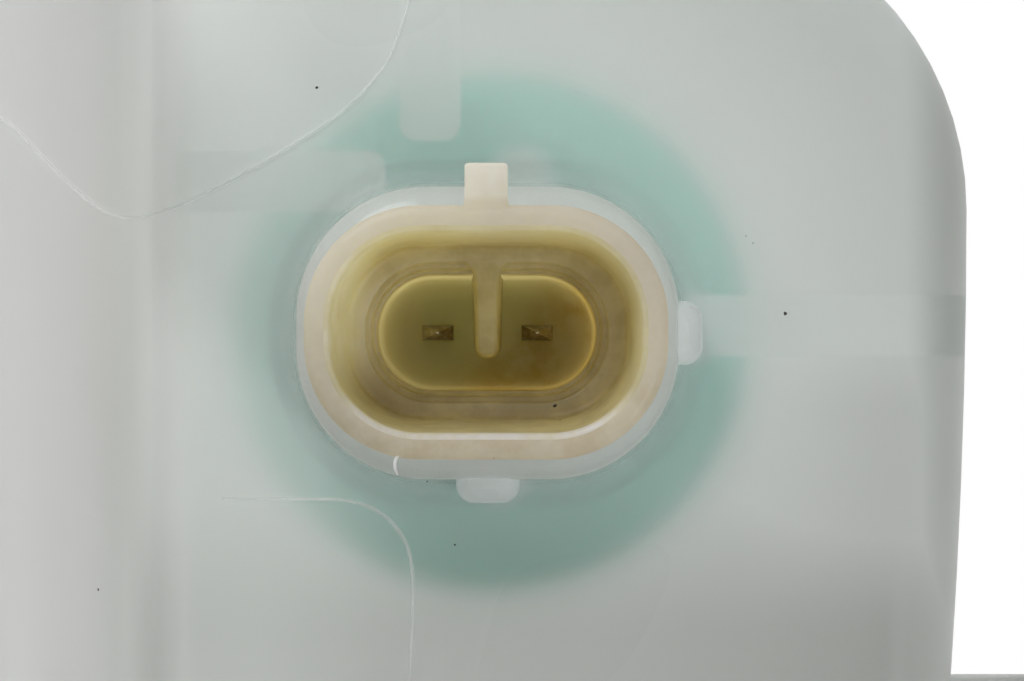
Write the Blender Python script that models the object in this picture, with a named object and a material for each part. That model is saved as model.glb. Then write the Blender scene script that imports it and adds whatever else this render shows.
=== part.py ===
"""Coolant expansion tank: two welded shells with a float level sensor under a raised shelf,
a screw cap that carries the pressure and vacuum valves, hose nipples and rubber mounted ears.

X runs along the tank towards the shelf, Y from the front to the back, Z up as installed.
The origin is the middle of the deep block's flat bottom.
"""

import math

import bmesh
import bpy

MM = 0.001

# Gap that a seated piece keeps to its neighbour
FIT = 0.3 * MM

# Tank body
SUMP_LENGTH = 150 * MM
SHELF_LENGTH = 55 * MM
TANK_DEPTH = 131 * MM
SHELF_RISE = 25 * MM
WELD_HEIGHT = 78 * MM
TOP_HEIGHT = 148 * MM
WALL = 2.5 * MM
DRAFT = math.radians(1)
PLAN_RADIUS = 22 * MM
SUMP_CORNER = 7 * MM
SIDE_BOW_RADIUS = 470 * MM
BOTTOM_FILLET = 9 * MM
SHELF_FILLET = 5 * MM
STEP_FILLET = 3 * MM
TOP_FILLET = 16 * MM
LEAST_ROUND = 0.5 * MM
FLANGE_REACH = 3 * MM
FLANGE_THICKNESS = 2.5 * MM

# Baffles inside the tank
BAFFLE_X = 8 * MM
BAFFLE_THICKNESS = 2.2 * MM
BAFFLE_WINDOW_WIDTH = 34 * MM
BAFFLE_WINDOW_HEIGHT = 16 * MM
BAFFLE_WINDOW_Y = 26 * MM
BAFFLE_AIR_GAP = 4 * MM

# Level sensor's place on the shelf, and the boss that carries it
SENSOR_FROM_SIDE = 33.6 * MM
SENSOR_FROM_FRONT = 30.5 * MM
BOSS_WIDTH = 25.2 * MM
BOSS_DEPTH = 19.3 * MM
BOSS_CORNER = 8.6 * MM
BOSS_DROP = 7 * MM
BOSS_EDGE = 1.6 * MM
BOSS_LUG_WIDTH = 4.2 * MM
BOSS_LUG_REACH = 1.6 * MM
BOSS_LUG_ROUND = 1.2 * MM

# Sensor housing: plug shroud, plug body and reed tube
SHROUD_WIDTH = 22.5 * MM
SHROUD_DEPTH = 15.7 * MM
SHROUD_CORNER = 7.2 * MM
SHROUD_LENGTH = 13 * MM
SHROUD_WALL = 1.6 * MM
SHROUD_TAPER = 0.7 * MM
SOCKET_DEPTH = 8 * MM
WELL_WIDTH = 14.6 * MM
WELL_BREADTH = 8 * MM
WELL_CORNER = 3.9 * MM
WELL_FLOOR = 2.4 * MM
PARTITION = 1.6 * MM
RIB_THICKNESS = 1.5 * MM
RIB_PAST_AXIS = 1.6 * MM
RIB_PROUD = 0.6 * MM
LOCK_TAB_WIDTH = 2.65 * MM
LOCK_TAB_REACH = 2.6 * MM
LOCK_TAB_LENGTH = 9 * MM
LOCK_TAB_SET_BACK = 0.15 * MM
PLUG_SHOULDER = 0.6 * MM
SEAL_THICKNESS = 1.5 * MM
TUBE_DIAMETER = 11 * MM
TUBE_WALL = 0.9 * MM
TUBE_LENGTH = 45 * MM
TUBE_END = 6.5 * MM
CLIP_FROM_END = 2.5 * MM
CLIP_THICKNESS = 1.5 * MM
CLIP_BITE = 0.6 * MM
CLIP_REACH = 3 * MM
CLIP_OPENING = math.radians(70)

# Electrical parts
PIN_PITCH = 6.5 * MM
PIN_WIDTH = 2 * MM
PIN_THICKNESS = 1 * MM
PIN_STANDING = 3.4 * MM
PIN_TIP = 0.6 * MM
REED_DIAMETER = 2.8 * MM
REED_LENGTH = 16 * MM
REED_FROM_PARTITION = 18 * MM
LEAD_DIAMETER = 0.7 * MM
LEAD_LENGTH = 3 * MM

# Float
FLOAT_DIAMETER = 36 * MM
FLOAT_HEIGHT = 14 * MM
FLOAT_ROUND = 3.5 * MM
FLOAT_CLEARANCE = 0.8 * MM
FLOAT_SEAT_HEIGHT = 3.5 * MM
FLOAT_SEAT_WIDTH = 2 * MM
MAGNET_WIDTH = 2.8 * MM
MAGNET_HEIGHT = 4.4 * MM
SUPPORT_RIB_WIDTH = 4.1 * MM
SUPPORT_RIB_START = 12.9 * MM
SUPPORT_RIB_ROUND = 1.2 * MM
FRONT_RIB_OFFSET = -3.9 * MM
SIDE_RIB_OFFSET = -0.5 * MM
STEP_RIB_OFFSET = -10.2 * MM
STEP_RIB_END = 6.9 * MM

# Filler neck
NECK_X = -15 * MM
NECK_BORE = 38 * MM
NECK_WALL = 5 * MM
NECK_HEIGHT = 20 * MM
NECK_ROOT_FILLET = 3 * MM
NECK_CHAMFER = 0.8 * MM

# Cap
CAP_GRIP_DIAMETER = 61 * MM
CAP_LOBES = 12
CAP_LOBE_DEPTH = 1.1 * MM
CAP_SKIRT = 10 * MM
CAP_CROWN = 8.2 * MM
CAP_CROWN_ROUND = 5 * MM
CAP_THREAD_CLEARANCE = 3.5 * MM
CAP_LUGS = 6
CAP_LUG_WIDTH = 5 * MM
CAP_LUG_HEIGHT = 1.5 * MM
CAP_LUG_GRIP = 0.8 * MM
CAP_LUG_ROOT = 1 * MM
INSERT_FLANGE = 2.5 * MM
INSERT_FLANGE_REACH = 3 * MM
INSERT_CLEARANCE = 1.5 * MM
INSERT_LENGTH = 20 * MM
INSERT_WALL = 4 * MM
SEAT_THICKNESS = 2.5 * MM
SEAT_WIDTH = 4 * MM
CAP_SEAL_FROM_TOP = 10.2 * MM
CAP_SEAL_GROOVE = 1.7 * MM

# Valves in the cap
GASKET_THICKNESS = 1.5 * MM
GASKET_HOLE = 9 * MM
VALVE_PLATE_THICKNESS = 1.5 * MM
VALVE_PLATE_RIM = 1.5 * MM
VALVE_PLATE_CLEARANCE = 0.6 * MM
VACUUM_DISC_DIAMETER = 12 * MM
VACUUM_DISC_THICKNESS = 1.2 * MM
VACUUM_STEM_DIAMETER = 3 * MM
VACUUM_STEM_LENGTH = 8 * MM
VACUUM_HEAD_DIAMETER = 6.8 * MM
VACUUM_HEAD_THICKNESS = 1 * MM
RETAINER_THICKNESS = 2 * MM
RETAINER_HOLE = 10 * MM
PRESSURE_WIRE = 1.6 * MM
PRESSURE_TURNS = 4.5
VACUUM_WIRE = 0.5 * MM
VACUUM_TURNS = 4

# Hose nipples
OUTLET_BORE = 15 * MM
OUTLET_WALL = 2.5 * MM
OUTLET_LENGTH = 28 * MM
OUTLET_Y = 20 * MM
OUTLET_Z = 18 * MM
VENT_BORE = 6.4 * MM
VENT_WALL = 1.8 * MM
VENT_LENGTH = 22 * MM
VENT_X = -45 * MM
VENT_Z = 118 * MM
BARB_HEIGHT = 0.9 * MM
BARB_LENGTH = 5 * MM

# Mounting ears, with a rubber grommet and a steel sleeve in each
EAR_WIDTH = 27 * MM
EAR_REACH = 15 * MM
EAR_THICKNESS = 4 * MM
EAR_HEIGHT = 44 * MM
RIGHT_EAR_Y = 3.5 * MM
LEFT_EAR_Y = -18 * MM
EAR_GUSSET_DROP = 10 * MM
EAR_GUSSET_THICKNESS = 2.2 * MM
SLEEVE_BORE = 6.6 * MM
SLEEVE_WALL = 1.8 * MM
SLEEVE_STAND_OUT = 1 * MM
GROMMET_WALL = 3 * MM
GROMMET_LIP = 2.6 * MM
GROMMET_LIP_THICKNESS = 3 * MM
PEG_X = 25 * MM
PEG_Z = 60 * MM
PEG_DIAMETER = 10 * MM
PEG_LENGTH = 16 * MM
PEG_COLLAR = 2 * MM

# Level marks on the front
MARK_WIDTH = 24 * MM
MARK_HEIGHT = 1.8 * MM
MARK_PROUD = 1 * MM
MARK_X = -40 * MM
LOW_MARK_Z = 56 * MM
HIGH_MARK_Z = 104 * MM

# Facets
CORNER_STEPS = 5
SIDE_STEPS = 5
FADE_STEPS = 4
FILLET_STEPS = 4
ROUND_STEPS = 40
SMALL_ROUND_STEPS = 24
FINE_ROUND_STEPS = 12
BAR_CORNER_STEPS = 3
RIB_END_STEPS = 6
WIRE_SIDES = 6
THIN_WIRE_SIDES = 5
STEPS_PER_TURN = 12
STEPS_PER_LOBE = 5
SHARP_ANGLE = math.radians(32)

# Places that follow from the sizes
SUMP_LEFT = -SUMP_LENGTH / 2
SUMP_RIGHT = SUMP_LENGTH / 2
TANK_RIGHT = SUMP_RIGHT + SHELF_LENGTH
FRONT = -TANK_DEPTH / 2
BACK = TANK_DEPTH / 2
SENSOR_X = TANK_RIGHT - SENSOR_FROM_SIDE
SENSOR_Y = FRONT + SENSOR_FROM_FRONT
SHELF_FLOOR = SHELF_RISE + WALL
BOSS_FACE = SHELF_RISE - BOSS_DROP
SHROUD_TOP = BOSS_FACE - FIT
RIM = SHROUD_TOP - SHROUD_LENGTH
LEDGE = RIM + SOCKET_DEPTH
SEAL_BOTTOM = SHELF_RISE - FIT - SEAL_THICKNESS
PLUG_TOP = SEAL_BOTTOM - FIT
TUBE_BORE_FLOOR = PLUG_TOP - WELL_FLOOR + PARTITION
WELL_BOTTOM = PLUG_TOP - WELL_FLOOR
TUBE_RADIUS = TUBE_DIAMETER / 2
TUBE_TOP = SHELF_RISE + TUBE_LENGTH
TUBE_BORE_TOP = TUBE_TOP - TUBE_END
CLIP_BOTTOM = TUBE_TOP - CLIP_FROM_END - CLIP_THICKNESS
FLOAT_BORE = TUBE_RADIUS + FLOAT_CLEARANCE
FLOAT_BOTTOM = SHELF_FLOOR + FLOAT_SEAT_HEIGHT + FIT
NECK_Y = 0.0
NECK_TOP = TOP_HEIGHT + NECK_HEIGHT
NECK_RADIUS = NECK_BORE / 2 + NECK_WALL
INSERT_RADIUS = NECK_BORE / 2 - INSERT_CLEARANCE
INSERT_BORE = INSERT_RADIUS - INSERT_WALL
FLANGE_RADIUS = NECK_RADIUS + INSERT_FLANGE_REACH
SEAT_TOP = SEAT_THICKNESS - INSERT_LENGTH
SEAT_RADIUS = INSERT_BORE - SEAT_WIDTH
GASKET_BOTTOM = SEAT_TOP + FIT
PLATE_BOTTOM = GASKET_BOTTOM + GASKET_THICKNESS + FIT
PLATE_TOP = PLATE_BOTTOM + VALVE_PLATE_THICKNESS
PLATE_RADIUS = INSERT_BORE - VALVE_PLATE_CLEARANCE
VACUUM_DISC_TOP = GASKET_BOTTOM - FIT
STEM_CLEAR_RADIUS = VACUUM_STEM_DIAMETER / 2 + FIT
SLEEVE_RADIUS = SLEEVE_BORE / 2 + SLEEVE_WALL
GROMMET_BORE = SLEEVE_RADIUS + FIT
GROMMET_NECK = GROMMET_BORE + GROMMET_WALL
EAR_HOLE = GROMMET_NECK + FIT


def clear_scene():
    for obj in list(bpy.data.objects):
        bpy.data.objects.remove(obj, do_unlink=True)


def look(name, colour, roughness, metallic=0.0):
    """A Principled material of one colour."""
    material = bpy.data.materials.new(name)
    material.use_nodes = True
    shader = material.node_tree.nodes["Principled BSDF"]
    shader.inputs["Base Color"].default_value = (*colour, 1.0)
    shader.inputs["Roughness"].default_value = roughness
    shader.inputs["Metallic"].default_value = metallic
    return material


def add_object(name, mesh, material, location=(0, 0, 0), rotation=(0, 0, 0)):
    obj = bpy.data.objects.new(name, mesh)
    obj.location = location
    obj.rotation_euler = rotation
    bpy.context.scene.collection.objects.link(obj)
    if material:
        mesh.materials.append(material)
    mesh.shade_smooth()
    mesh.set_sharp_from_angle(angle=SHARP_ANGLE)
    return obj


def skin(name, rings, looped=False):
    """A closed surface through rings of equally many points: capped at both ends, or looped."""
    work = bmesh.new()
    loops = [[work.verts.new(point) for point in ring] for ring in rings]
    pairs = list(zip(loops, loops[1:]))
    if looped:
        pairs.append((loops[-1], loops[0]))
    else:
        work.faces.new(reversed(loops[0]))
        work.faces.new(loops[-1])
    for low, high in pairs:
        for i in range(len(low)):
            j = (i + 1) % len(low)
            work.faces.new((low[i], low[j], high[j], high[i]))
    bmesh.ops.remove_doubles(work, verts=work.verts, dist=1e-7)
    bmesh.ops.dissolve_degenerate(work, edges=work.edges, dist=1e-7)
    bmesh.ops.recalc_face_normals(work, faces=work.faces)
    mesh = bpy.data.meshes.new(name)
    work.to_mesh(mesh)
    work.free()
    return mesh


def circle(radius, height, steps=ROUND_STEPS):
    """A ring of points round the Z axis."""
    turns = [2 * math.pi * i / steps for i in range(steps)]
    return [(radius * math.cos(t), radius * math.sin(t), height) for t in turns]


def turned(name, profile, steps=ROUND_STEPS, looped=False):
    """A turned solid from (radius, height) points: looped for a ring, else capped at both ends."""
    return skin(name, [circle(radius, height, steps) for radius, height in profile], looped)


def ring_profile(inner, outer, bottom, top):
    """The rectangle that a plain ring is turned from."""
    return [(inner, bottom), (outer, bottom), (outer, top), (inner, top)]


def arc(centre_x, centre_y, radius, start, sweep, steps):
    """Points on an arc, angles in degrees."""
    angles = [math.radians(start + sweep * i / steps) for i in range(steps + 1)]
    return [(centre_x + radius * math.cos(a), centre_y + radius * math.sin(a)) for a in angles]


def at_height(outline, height):
    return [(x, y, height) for x, y in outline]


def prism(name, outline, bottom, top):
    """An outline in the XY plane carried from one height to another."""
    return skin(name, [at_height(outline, bottom), at_height(outline, top)])


def slab(name, outline, centre, thickness, axis):
    """A plate with its outline in the plane square to X or Y, as (across, height) points."""
    rings = []
    for place in (centre - thickness / 2, centre + thickness / 2):
        if axis == "X":
            rings.append([(place, across, height) for across, height in outline])
        else:
            rings.append([(across, place, height) for across, height in outline])
    return skin(name, rings)


def box(name, low, high):
    outline = [(low[0], low[1]), (high[0], low[1]), (high[0], high[1]), (low[0], high[1])]
    return prism(name, outline, low[2], high[2])


def oval(width, depth, corner, steps=CORNER_STEPS):
    """A rectangle with its corners rounded, about the origin, as 4 * (steps + 1) points."""
    x, y = width / 2 - corner, depth / 2 - corner
    points = arc(x, -y, corner, -90, 90, steps)
    points += arc(x, y, corner, 0, 90, steps)
    points += arc(-x, y, corner, 90, 90, steps)
    points += arc(-x, -y, corner, 180, 90, steps)
    return points


def combine(target, tool, operation):
    """Joins a tool to a target, or cuts it out."""
    tool.hide_render = True
    tool.display_type = "WIRE"
    modifier = target.modifiers.new(tool.name, "BOOLEAN")
    modifier.operation = operation
    modifier.solver = "EXACT"
    modifier.object = tool


def cut(target, mesh, location=(0, 0, 0), rotation=(0, 0, 0)):
    combine(target, add_object(mesh.name, mesh, None, location, rotation), "DIFFERENCE")


def join(target, mesh, location=(0, 0, 0), rotation=(0, 0, 0)):
    combine(target, add_object(mesh.name, mesh, None, location, rotation), "UNION")


def draft_inset(height):
    """How far the drafted walls stand in from their size at the weld."""
    return abs(height - WELD_HEIGHT) * math.tan(DRAFT)


def side_drop(y):
    """How far the bowed side lies inside the tank's full length."""
    past = max(0.0, y - (FRONT + PLAN_RADIUS))
    return past * past / (2 * SIDE_BOW_RADIUS)


def sump_corner(inset):
    """Radius of the deep block's two corners at the step, for an outline moved in."""
    return max(SUMP_CORNER - inset, LEAST_ROUND)


def left_end(inset):
    """The outline's points round the left end, from the back to the front."""
    radius = PLAN_RADIUS - inset
    x = SUMP_LEFT + PLAN_RADIUS
    points = arc(x, BACK - PLAN_RADIUS, radius, 90, 90, CORNER_STEPS)
    points += arc(x, FRONT + PLAN_RADIUS, radius, 180, 90, CORNER_STEPS)
    return points


def bowed(points, right):
    """Points of the right end, moved in to follow the bowed side."""
    moved = []
    for x, y in points:
        share = max(0.0, (x - SUMP_RIGHT) / (right - SUMP_RIGHT))
        moved.append((x - side_drop(y) * share, y))
    return moved


def body_outline(inset, edge_inset=0.0):
    """The whole tank in plan, moved in by inset, and by edge_inset more round the shelf."""
    wide, narrow = (right_end(inset), right_end(inset + edge_inset))
    count = len(wide)
    points = []
    for i, (outer, inner) in enumerate(zip(wide, narrow)):
        share = min(1.0, i / FADE_STEPS, (count - 1 - i) / FADE_STEPS)
        points.append(tuple(a + (b - a) * share for a, b in zip(outer, inner)))
    return points + left_end(inset)


def right_end(inset):
    """The whole tank's outline round the right end, from the front to the back."""
    start = SUMP_RIGHT - inset - sump_corner(inset)
    right, front, back = TANK_RIGHT - inset, FRONT + inset, BACK - inset
    radius = PLAN_RADIUS - inset
    turn = right - radius
    run = [start + (turn - start) * i / FADE_STEPS for i in range(FADE_STEPS)]
    points = [(x, front) for x in run]
    points += arc(turn, front + radius, radius, -90, 90, CORNER_STEPS)
    low, high = front + radius, back - radius
    points += [(right, low + (high - low) * i / SIDE_STEPS) for i in range(1, SIDE_STEPS)]
    points += arc(turn, back - radius, radius, 0, 90, CORNER_STEPS)
    points += [(x, back) for x in reversed(run)]
    return bowed(points, right)


def sump_outline(inset, flare=0.0):
    """The deep block in plan, with flare added to its side at the step."""
    radius = sump_corner(inset)
    right, front, back = SUMP_RIGHT - inset, FRONT + inset, BACK - inset
    low, high = front + radius, back - radius
    between = 2 * CORNER_STEPS + SIDE_STEPS
    points = arc(right - radius, low, radius, -90, 90, FADE_STEPS)
    points += [(right, low + (high - low) * i / between) for i in range(1, between)]
    points += arc(right - radius, high, radius, 0, 90, FADE_STEPS)
    count = len(points)
    flared = []
    for i, (x, y) in enumerate(points):
        share = min(1.0, i / FADE_STEPS, (count - 1 - i) / FADE_STEPS)
        flared.append((x + flare * share, y))
    return flared + left_end(inset)


def quarter_turns():
    return [math.pi / 2 * i / FILLET_STEPS for i in range(FILLET_STEPS + 1)]


def bottom_edge(offset):
    """(inset, height) points up the deep block's rounded bottom edge."""
    radius = max(BOTTOM_FILLET - offset, LEAST_ROUND)
    points = [(radius * (1 - math.sin(a)), offset + radius * (1 - math.cos(a))) for a in quarter_turns()]
    return [(offset + inset + draft_inset(height), height) for inset, height in points]


def shelf_edge(offset):
    """(edge inset, height) points up the shelf's rounded bottom edge."""
    radius = max(SHELF_FILLET - offset, LEAST_ROUND)
    floor = SHELF_RISE + offset
    return [(radius * (1 - math.sin(a)), floor + radius * (1 - math.cos(a))) for a in quarter_turns()]


def top_edge(offset):
    """(inset, height) points up the upper shell's rounded top edge."""
    radius = max(TOP_FILLET - offset, LEAST_ROUND)
    roof = TOP_HEIGHT - offset
    points = [(radius * (1 - math.cos(a)), roof - radius * (1 - math.sin(a))) for a in quarter_turns()]
    return [(offset + inset + draft_inset(height), height) for inset, height in points]


def lower_skin(offset):
    """Rings up the lower shell's outer face, or its inner face for an offset of one wall."""
    rings = [at_height(sump_outline(inset), height) for inset, height in bottom_edge(offset)]
    shelf = SHELF_RISE + offset
    radius = STEP_FILLET + offset
    for angle in quarter_turns():
        height = shelf - radius * (1 - math.sin(angle))
        outline = sump_outline(offset + draft_inset(height), radius * (1 - math.cos(angle)))
        rings.append(at_height(outline, height))
    for edge_inset, height in shelf_edge(offset):
        rings.append(at_height(body_outline(offset + draft_inset(height), edge_inset), height))
    return rings


def lower_shell(material):
    """The lower half: deep block, shelf and weld flange, lofted as one wall."""
    flange_bottom = WELD_HEIGHT - FLANGE_THICKNESS
    rings = lower_skin(0.0)
    rings.append(at_height(body_outline(draft_inset(flange_bottom)), flange_bottom))
    rings.append(at_height(body_outline(-FLANGE_REACH), flange_bottom))
    rings.append(at_height(body_outline(-FLANGE_REACH), WELD_HEIGHT))
    rings.append(at_height(body_outline(WALL), WELD_HEIGHT))
    rings += reversed(lower_skin(WALL))
    return add_object("lower_shell", skin("lower_shell", rings), material)


def upper_shell(material):
    """The upper half with its weld flange, lofted as one wall."""
    weld = WELD_HEIGHT + FIT
    flange_top = weld + FLANGE_THICKNESS
    outer = [at_height(body_outline(inset), height) for inset, height in top_edge(0.0)]
    inner = [at_height(body_outline(inset), height) for inset, height in top_edge(WALL)]
    rings = list(reversed(outer))
    rings.append(at_height(body_outline(draft_inset(flange_top)), flange_top))
    rings.append(at_height(body_outline(-FLANGE_REACH), flange_top))
    rings.append(at_height(body_outline(-FLANGE_REACH), weld))
    rings.append(at_height(body_outline(WALL), weld))
    rings += inner
    return add_object("upper_shell", skin("upper_shell", rings), material)


def add_baffles(lower, upper):
    """A slosh baffle across each half, sunk half a wall into the shell, with windows at its foot."""
    sunk = WALL / 2
    low = [(FRONT + inset, height) for inset, height in bottom_edge(sunk)]
    low.append((FRONT + sunk, WELD_HEIGHT))
    low += [(-across, height) for across, height in reversed(low)]
    join(lower, slab("lower_baffle", low, BAFFLE_X, BAFFLE_THICKNESS, "X"))
    half = BAFFLE_THICKNESS
    for side in (-1, 1):
        centre = side * BAFFLE_WINDOW_Y
        low_corner = (BAFFLE_X - half, centre - BAFFLE_WINDOW_WIDTH / 2, WALL + FIT)
        high_corner = (BAFFLE_X + half, centre + BAFFLE_WINDOW_WIDTH / 2, WALL + BAFFLE_WINDOW_HEIGHT)
        cut(lower, box("baffle_window", low_corner, high_corner))
    high = [(FRONT + sunk, WELD_HEIGHT + FIT)]
    straight = TOP_HEIGHT - TOP_FILLET - BAFFLE_AIR_GAP
    high.append((FRONT + sunk + draft_inset(straight), straight))
    high += [(-across, height) for across, height in reversed(high)]
    join(upper, slab("upper_baffle", high, BAFFLE_X, BAFFLE_THICKNESS, "X"))


def rounded_bar(start, length, width, corner):
    """A bar in plan from X = start to its rounded end at X = length."""
    half = width / 2
    points = [(start, -half)]
    points += arc(length - corner, corner - half, corner, -90, 90, BAR_CORNER_STEPS)
    points += arc(length - corner, half - corner, corner, 0, 90, BAR_CORNER_STEPS)
    points.append((start, half))
    return points


def shelf_edge_inset(height):
    """How far the middle of the shelf's rounded wall lies inside its upright part at a height."""
    radius = SHELF_FILLET - WALL / 2
    below = SHELF_RISE + WALL / 2 + radius - height
    if below <= 0:
        return 0.0
    return radius - math.sqrt(max(0.0, radius * radius - below * below))


def wall_rib(length, top):
    """A low rib on the shelf's floor, its root following the rounded edge at the middle of the wall."""
    floor = SHELF_RISE + WALL / 2
    rings = []
    for i in range(FILLET_STEPS + 1):
        height = floor + (top - floor) * i / FILLET_STEPS
        bar = rounded_bar(shelf_edge_inset(height), length, SUPPORT_RIB_WIDTH, SUPPORT_RIB_ROUND)
        rings.append(at_height(bar, height))
    return skin("support_rib", rings)


def add_float_supports(lower):
    """The ring round the reed tube and the three ribs on the shelf's floor that the float rests on."""
    floor, top = SHELF_FLOOR - WALL / 2, SHELF_FLOOR + FLOAT_SEAT_HEIGHT
    inner = FLOAT_BORE + FIT
    ring = turned("float_seat", ring_profile(inner, inner + FLOAT_SEAT_WIDTH, floor, top), looped=True)
    join(lower, ring, (SENSOR_X, SENSOR_Y, 0), (0, 0, math.pi / ROUND_STEPS))
    side = TANK_RIGHT - side_drop(SENSOR_Y) - WALL / 2
    length = side - SENSOR_X - SUPPORT_RIB_START
    join(lower, wall_rib(length, top), (side, SENSOR_Y + SIDE_RIB_OFFSET, 0), (0, 0, math.pi))
    front = FRONT + WALL / 2
    length = SENSOR_Y - front - SUPPORT_RIB_START
    join(lower, wall_rib(length, top), (SENSOR_X + FRONT_RIB_OFFSET, front, 0), (0, 0, math.pi / 2))
    length = SENSOR_X - SUMP_RIGHT - STEP_RIB_END
    bar = rounded_bar(0, length, SUPPORT_RIB_WIDTH, SUPPORT_RIB_ROUND)
    join(lower, prism("step_rib", bar, floor, top), (SUMP_RIGHT, SENSOR_Y + STEP_RIB_OFFSET, 0))


def add_sensor_boss(lower):
    """The oval cup under the shelf that takes the sensor's plug body, with its two snap lugs."""
    face = BOSS_FACE
    rings = [
        at_height(oval(BOSS_WIDTH - BOSS_EDGE, BOSS_DEPTH - BOSS_EDGE, BOSS_CORNER - BOSS_EDGE / 2), face),
        at_height(oval(BOSS_WIDTH, BOSS_DEPTH, BOSS_CORNER), face + BOSS_EDGE),
        at_height(oval(BOSS_WIDTH, BOSS_DEPTH, BOSS_CORNER), SHELF_RISE + WALL / 2),
    ]
    join(lower, skin("sensor_boss", rings), (SENSOR_X, SENSOR_Y, 0))
    lug_top = SHELF_RISE + WALL / 2
    for name, turn, reach in (
        ("back_lug", math.pi / 2, BOSS_DEPTH / 2),
        ("side_lug", 0.0, BOSS_WIDTH / 2),
    ):
        bar = rounded_bar(0, reach + BOSS_LUG_REACH, BOSS_LUG_WIDTH, BOSS_LUG_ROUND)
        mesh = prism(name, bar, face + BOSS_EDGE, lug_top)
        join(lower, mesh, (SENSOR_X, SENSOR_Y, 0), (0, 0, turn))
    body_width, body_depth, body_corner = plug_body()
    pocket = oval(body_width + 2 * FIT, body_depth + 2 * FIT, body_corner + FIT)
    cut(lower, prism("sensor_pocket", pocket, face - BOSS_DROP, SHELF_RISE), (SENSOR_X, SENSOR_Y, 0))
    hole = circle(TUBE_RADIUS + 2 * FIT, 0, SMALL_ROUND_STEPS)
    hole = [(x, y) for x, y, _ in hole]
    cut(lower, prism("tube_hole", hole, face, SHELF_FLOOR + WALL), (SENSOR_X, SENSOR_Y, 0))


def plug_body():
    """Width, depth and corner of the sensor's body above the shroud's shoulder."""
    return (
        SHROUD_WIDTH - 2 * PLUG_SHOULDER,
        SHROUD_DEPTH - 2 * PLUG_SHOULDER,
        SHROUD_CORNER - PLUG_SHOULDER,
    )


def add_neck(upper):
    """The filler neck, with a fillet at its root and a chamfered mouth."""
    profile = [(NECK_RADIUS + NECK_ROOT_FILLET, TOP_HEIGHT - WALL / 2)]
    for angle in quarter_turns():
        profile.append(
            (
                NECK_RADIUS + NECK_ROOT_FILLET * (1 - math.sin(angle)),
                TOP_HEIGHT + FIT + NECK_ROOT_FILLET * (1 - math.cos(angle)),
            )
        )
    profile.append((NECK_RADIUS, NECK_TOP - NECK_CHAMFER))
    profile.append((NECK_RADIUS - NECK_CHAMFER, NECK_TOP))
    join(upper, turned("filler_neck", profile), (NECK_X, NECK_Y, 0))
    bore = NECK_BORE / 2
    cut(upper, turned("neck_bore", [(bore, TOP_HEIGHT - 2 * WALL), (bore, NECK_TOP + WALL)]), (NECK_X, NECK_Y, 0))


def add_nipple(shell, name, place, rotation, bore, wall, length):
    """A hose nipple with one barb, standing on a wall, and its bore through that wall."""
    radius = bore / 2 + wall
    profile = [
        (radius + wall, -WALL / 2),
        (radius + wall, wall / 2),
        (radius, wall),
        (radius, length - BARB_LENGTH),
        (radius + BARB_HEIGHT, length - BARB_LENGTH),
        (radius - BARB_HEIGHT / 2, length),
    ]
    join(shell, turned(name, profile, SMALL_ROUND_STEPS), place, rotation)
    passage = [(bore / 2, -2 * WALL), (bore / 2, length + WALL)]
    cut(shell, turned(name + "_bore", passage, SMALL_ROUND_STEPS), place, rotation)


def add_nipples(lower, upper):
    left_wall = SUMP_LEFT + draft_inset(OUTLET_Z)
    place = (left_wall, OUTLET_Y, OUTLET_Z)
    add_nipple(lower, "outlet_nipple", place, (0, -math.pi / 2, 0), OUTLET_BORE, OUTLET_WALL, OUTLET_LENGTH)
    back_wall = BACK - draft_inset(VENT_Z)
    place = (VENT_X, back_wall, VENT_Z)
    add_nipple(upper, "vent_nipple", place, (-math.pi / 2, 0, 0), VENT_BORE, VENT_WALL, VENT_LENGTH)


def end_wall(sense, y, height):
    """X of the outer face of the right end wall (sense 1) or the left one (sense -1)."""
    if sense > 0:
        return TANK_RIGHT - side_drop(y) - draft_inset(height)
    return SUMP_LEFT + draft_inset(height)


def ear_places():
    """The grommet's X, Y and the outward sense of each ear."""
    places = {}
    for side, y, sense in (("right", RIGHT_EAR_Y, 1), ("left", LEFT_EAR_Y, -1)):
        places[side] = (end_wall(sense, y, EAR_HEIGHT) + sense * EAR_REACH, y, sense)
    return places


def add_ears(lower):
    """The two mounting ears on gussets, their roots half a wall deep, with the holes for their grommets."""
    half = EAR_WIDTH / 2
    sunk = EAR_HEIGHT + EAR_THICKNESS / 2
    for side, (centre, y, sense) in ear_places().items():
        depth = sense * WALL / 2
        start, end = y - sense * half, y + sense * half
        outline = [(end_wall(sense, start, EAR_HEIGHT) - depth, start)]
        outline += arc(centre, y, half, -90 * sense, 180, 2 * CORNER_STEPS)
        outline.append((end_wall(sense, end, EAR_HEIGHT) - depth, end))
        join(lower, prism(side + "_ear", outline, EAR_HEIGHT, EAR_HEIGHT + EAR_THICKNESS))
        foot = centre - sense * (EAR_HOLE + GROMMET_LIP)
        for edge in (-1, 1):
            across = y + edge * (half - EAR_GUSSET_THICKNESS)
            root = end_wall(sense, across, EAR_HEIGHT) - depth
            gusset = [(root, EAR_HEIGHT - EAR_GUSSET_DROP), (foot, sunk), (root, sunk)]
            join(lower, slab(side + "_gusset", gusset, across, EAR_GUSSET_THICKNESS, "Y"))
        hole = [(EAR_HOLE, EAR_HEIGHT - EAR_THICKNESS), (EAR_HOLE, EAR_HEIGHT + 2 * EAR_THICKNESS)]
        cut(lower, turned(side + "_ear_hole", hole, SMALL_ROUND_STEPS), (centre, y, 0))


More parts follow.
